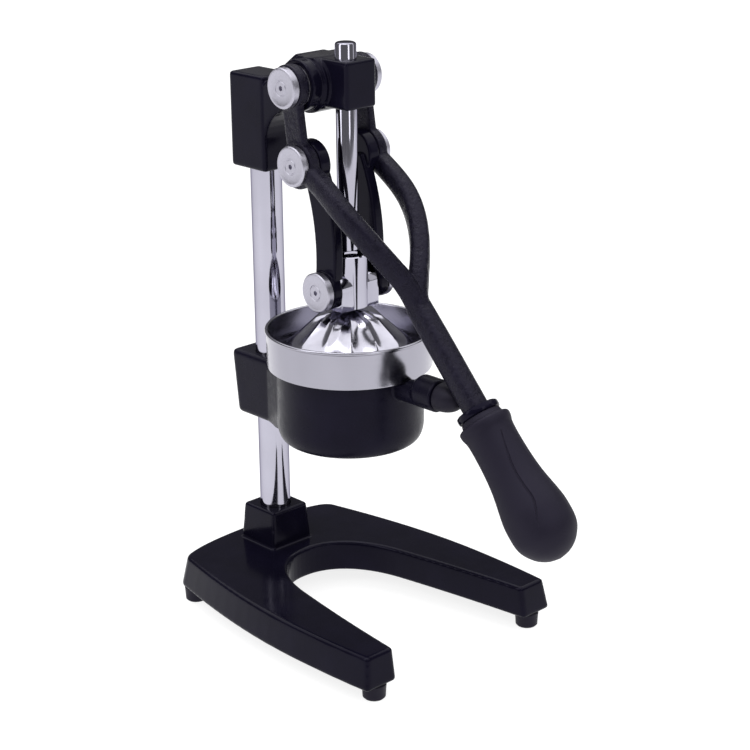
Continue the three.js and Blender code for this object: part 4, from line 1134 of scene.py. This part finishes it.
def build_lamps(studio):
    """Four soft lamps aimed at the middle of the press, and the wide light above."""
    middle = Vector((0, 0, 0.22))
    lamps = (
        ("left_strip", (-1.1, 0.35, 0.85), 0.4, 1.2, 0.7),
        ("right_strip", (1.0, -0.8, 0.8), 0.3, 1.0, 0.12),
        ("front_strip", (-0.25, -1.5, 0.9), 0.4, 0.9, 0.5),
        ("top_softbox", (0.0, 0.3, 1.7), 0.9, 0.9, 1.4),
    )
    for name, place, width, height, share in lamps:
        to_object_mode()
        aim = (middle - Vector(place)).to_track_quat("-Z", "Y").to_euler()
        bpy.ops.object.light_add(type="AREA", location=place, rotation=aim)
        lamp = bpy.context.object
        lamp.name = name
        lamp.data.shape = "RECTANGLE"
        lamp.data.size = width
        lamp.data.size_y = height
        lamp.data.energy = studio.lamp_power * share
    bpy.ops.object.light_add(type="SUN", location=(0, 0, 2))
    sky = bpy.context.object
    sky.name = "overhead_light"
    sky.data.energy = studio.overhead_light
    sky.data.angle = math.radians(110)


def build_room(studio):
    """The pale light from all round."""
    world = bpy.data.worlds.new("pale_room")
    world.use_nodes = True
    background = world.node_tree.nodes["Background"]
    background.inputs["Color"].default_value = (1.0, 0.995, 1.0, 1)
    background.inputs["Strength"].default_value = studio.room_light
    bpy.context.scene.world = world
    bpy.context.scene.view_settings.view_transform = "Standard"


def build_camera(studio):
    """The camera where the photo was taken from."""
    turn, tilt, roll = (math.radians(angle) for angle in (-43.504, 19.473, -0.552))
    right = Vector((math.cos(turn), math.sin(turn), 0))
    back = Vector((math.sin(turn) * math.cos(tilt), -math.cos(turn) * math.cos(tilt), math.sin(tilt)))
    up = back.cross(right)
    side = right * math.cos(roll) + up * math.sin(roll)
    top = up * math.cos(roll) - right * math.sin(roll)
    turned = Matrix((side, top, back)).transposed()
    to_object_mode()
    bpy.ops.object.camera_add(location=(-0.9587, -0.991, 0.7045), rotation=turned.to_euler())
    camera = bpy.context.object
    camera.name = "photo_camera"
    camera.data.sensor_width = 36
    camera.data.lens = studio.lens
    bpy.context.scene.camera = camera


# ---------------------------------------------------------------- operators


class PRESS_OT_base(bpy.types.Operator):
    """Model the base casting with its socket"""

    bl_idname = "juice_press.base"
    bl_label = "Base casting"

    def execute(self, context):
        build_base(context.scene.press_sizes)
        return {"FINISHED"}


class PRESS_OT_feet(bpy.types.Operator):
    """Model the four rubber feet"""

    bl_idname = "juice_press.feet"
    bl_label = "Rubber feet"

    def execute(self, context):
        build_feet()
        return {"FINISHED"}


class PRESS_OT_post(bpy.types.Operator):
    """Model the chrome post"""

    bl_idname = "juice_press.post"
    bl_label = "Post"

    def execute(self, context):
        build_post(context.scene.press_sizes)
        return {"FINISHED"}


class PRESS_OT_head(bpy.types.Operator):
    """Model the head casting with its arm and boss"""

    bl_idname = "juice_press.head"
    bl_label = "Head casting"

    def execute(self, context):
        build_head(context.scene.press_sizes)
        return {"FINISHED"}


class PRESS_OT_holder(bpy.types.Operator):
    """Model the cup holder with its clamp, lever rest and bumper"""

    bl_idname = "juice_press.holder"
    bl_label = "Cup holder"

    def execute(self, context):
        build_holder(context.scene.press_sizes)
        build_bumper()
        return {"FINISHED"}


class PRESS_OT_cup(bpy.types.Operator):
    """Model the steel cup and its strainer"""

    bl_idname = "juice_press.cup"
    bl_label = "Cup and strainer"

    def execute(self, context):
        build_cup(context.scene.press_sizes)
        build_strainer()
        return {"FINISHED"}


class PRESS_OT_bell(bpy.types.Operator):
    """Model the fluted bell"""

    bl_idname = "juice_press.bell"
    bl_label = "Bell"

    def execute(self, context):
        build_bell(context.scene.press_sizes)
        return {"FINISHED"}


class PRESS_OT_ram(bpy.types.Operator):
    """Model the ram's rod, nut and crosshead"""

    bl_idname = "juice_press.ram"
    bl_label = "Ram"

    def execute(self, context):
        build_ram(context.scene.press_sizes)
        return {"FINISHED"}


class PRESS_OT_pins(bpy.types.Operator):
    """Model the six disc-headed pins"""

    bl_idname = "juice_press.pins"
    bl_label = "Disc-headed pins"

    def execute(self, context):
        build_pins(context.scene.press_sizes)
        return {"FINISHED"}


class PRESS_OT_lever(bpy.types.Operator):
    """Model the forked lever and its flange"""

    bl_idname = "juice_press.lever"
    bl_label = "Lever"

    def execute(self, context):
        build_lever(context.scene.press_sizes)
        return {"FINISHED"}


class PRESS_OT_grip(bpy.types.Operator):
    """Model the rubber grip"""

    bl_idname = "juice_press.grip"
    bl_label = "Grip"

    def execute(self, context):
        build_grip(context.scene.press_sizes)
        return {"FINISHED"}


class PRESS_OT_links(bpy.types.Operator):
    """Model both links"""

    bl_idname = "juice_press.links"
    bl_label = "Links"

    def execute(self, context):
        build_links()
        return {"FINISHED"}


class PRESS_OT_fasteners(bpy.types.Operator):
    """Finish the screws, washers and pin ends"""

    bl_idname = "juice_press.fasteners"
    bl_label = "Fasteners"

    def execute(self, context):
        build_fasteners()
        return {"FINISHED"}


class PRESS_OT_studio(bpy.types.Operator):
    """Set up the floor, the lamps and the camera"""

    bl_idname = "juice_press.studio"
    bl_label = "Studio"

    def execute(self, context):
        for build in (build_floor, build_lamps, build_room, build_camera):
            build(context.scene.press_studio)
        return {"FINISHED"}


STEPS = (
    PRESS_OT_studio,
    PRESS_OT_base,
    PRESS_OT_feet,
    PRESS_OT_post,
    PRESS_OT_head,
    PRESS_OT_holder,
    PRESS_OT_cup,
    PRESS_OT_bell,
    PRESS_OT_ram,
    PRESS_OT_pins,
    PRESS_OT_lever,
    PRESS_OT_grip,
    PRESS_OT_links,
    PRESS_OT_fasteners,
)


class PRESS_PT_panel(bpy.types.Panel):
    """Lists the steps and the sizes of the press"""

    bl_idname = "PRESS_PT_panel"
    bl_label = "Juice press"
    bl_space_type = "VIEW_3D"
    bl_region_type = "UI"
    bl_category = "Juice press"

    def draw(self, context):
        layout = self.layout
        for step in STEPS:
            layout.operator(step.bl_idname)
        for settings in (context.scene.press_sizes, context.scene.press_colours, context.scene.press_studio):
            box = layout.box()
            for name in settings.__annotations__:
                box.prop(settings, name)


CLASSES = (PressSizes, PressColours, StudioSettings, *STEPS, PRESS_PT_panel)


def register():
    for each in CLASSES:
        bpy.utils.register_class(each)
    bpy.types.Scene.press_sizes = PointerProperty(type=PressSizes)
    bpy.types.Scene.press_colours = PointerProperty(type=PressColours)
    bpy.types.Scene.press_studio = PointerProperty(type=StudioSettings)


def unregister():
    del bpy.types.Scene.press_sizes
    del bpy.types.Scene.press_colours
    del bpy.types.Scene.press_studio
    for each in reversed(CLASSES):
        bpy.utils.unregister_class(each)


def main():
    register()
    for step in STEPS:
        group, name = step.bl_idname.split(".")
        getattr(getattr(bpy.ops, group), name)()


if __name__ == "__main__":
    main()
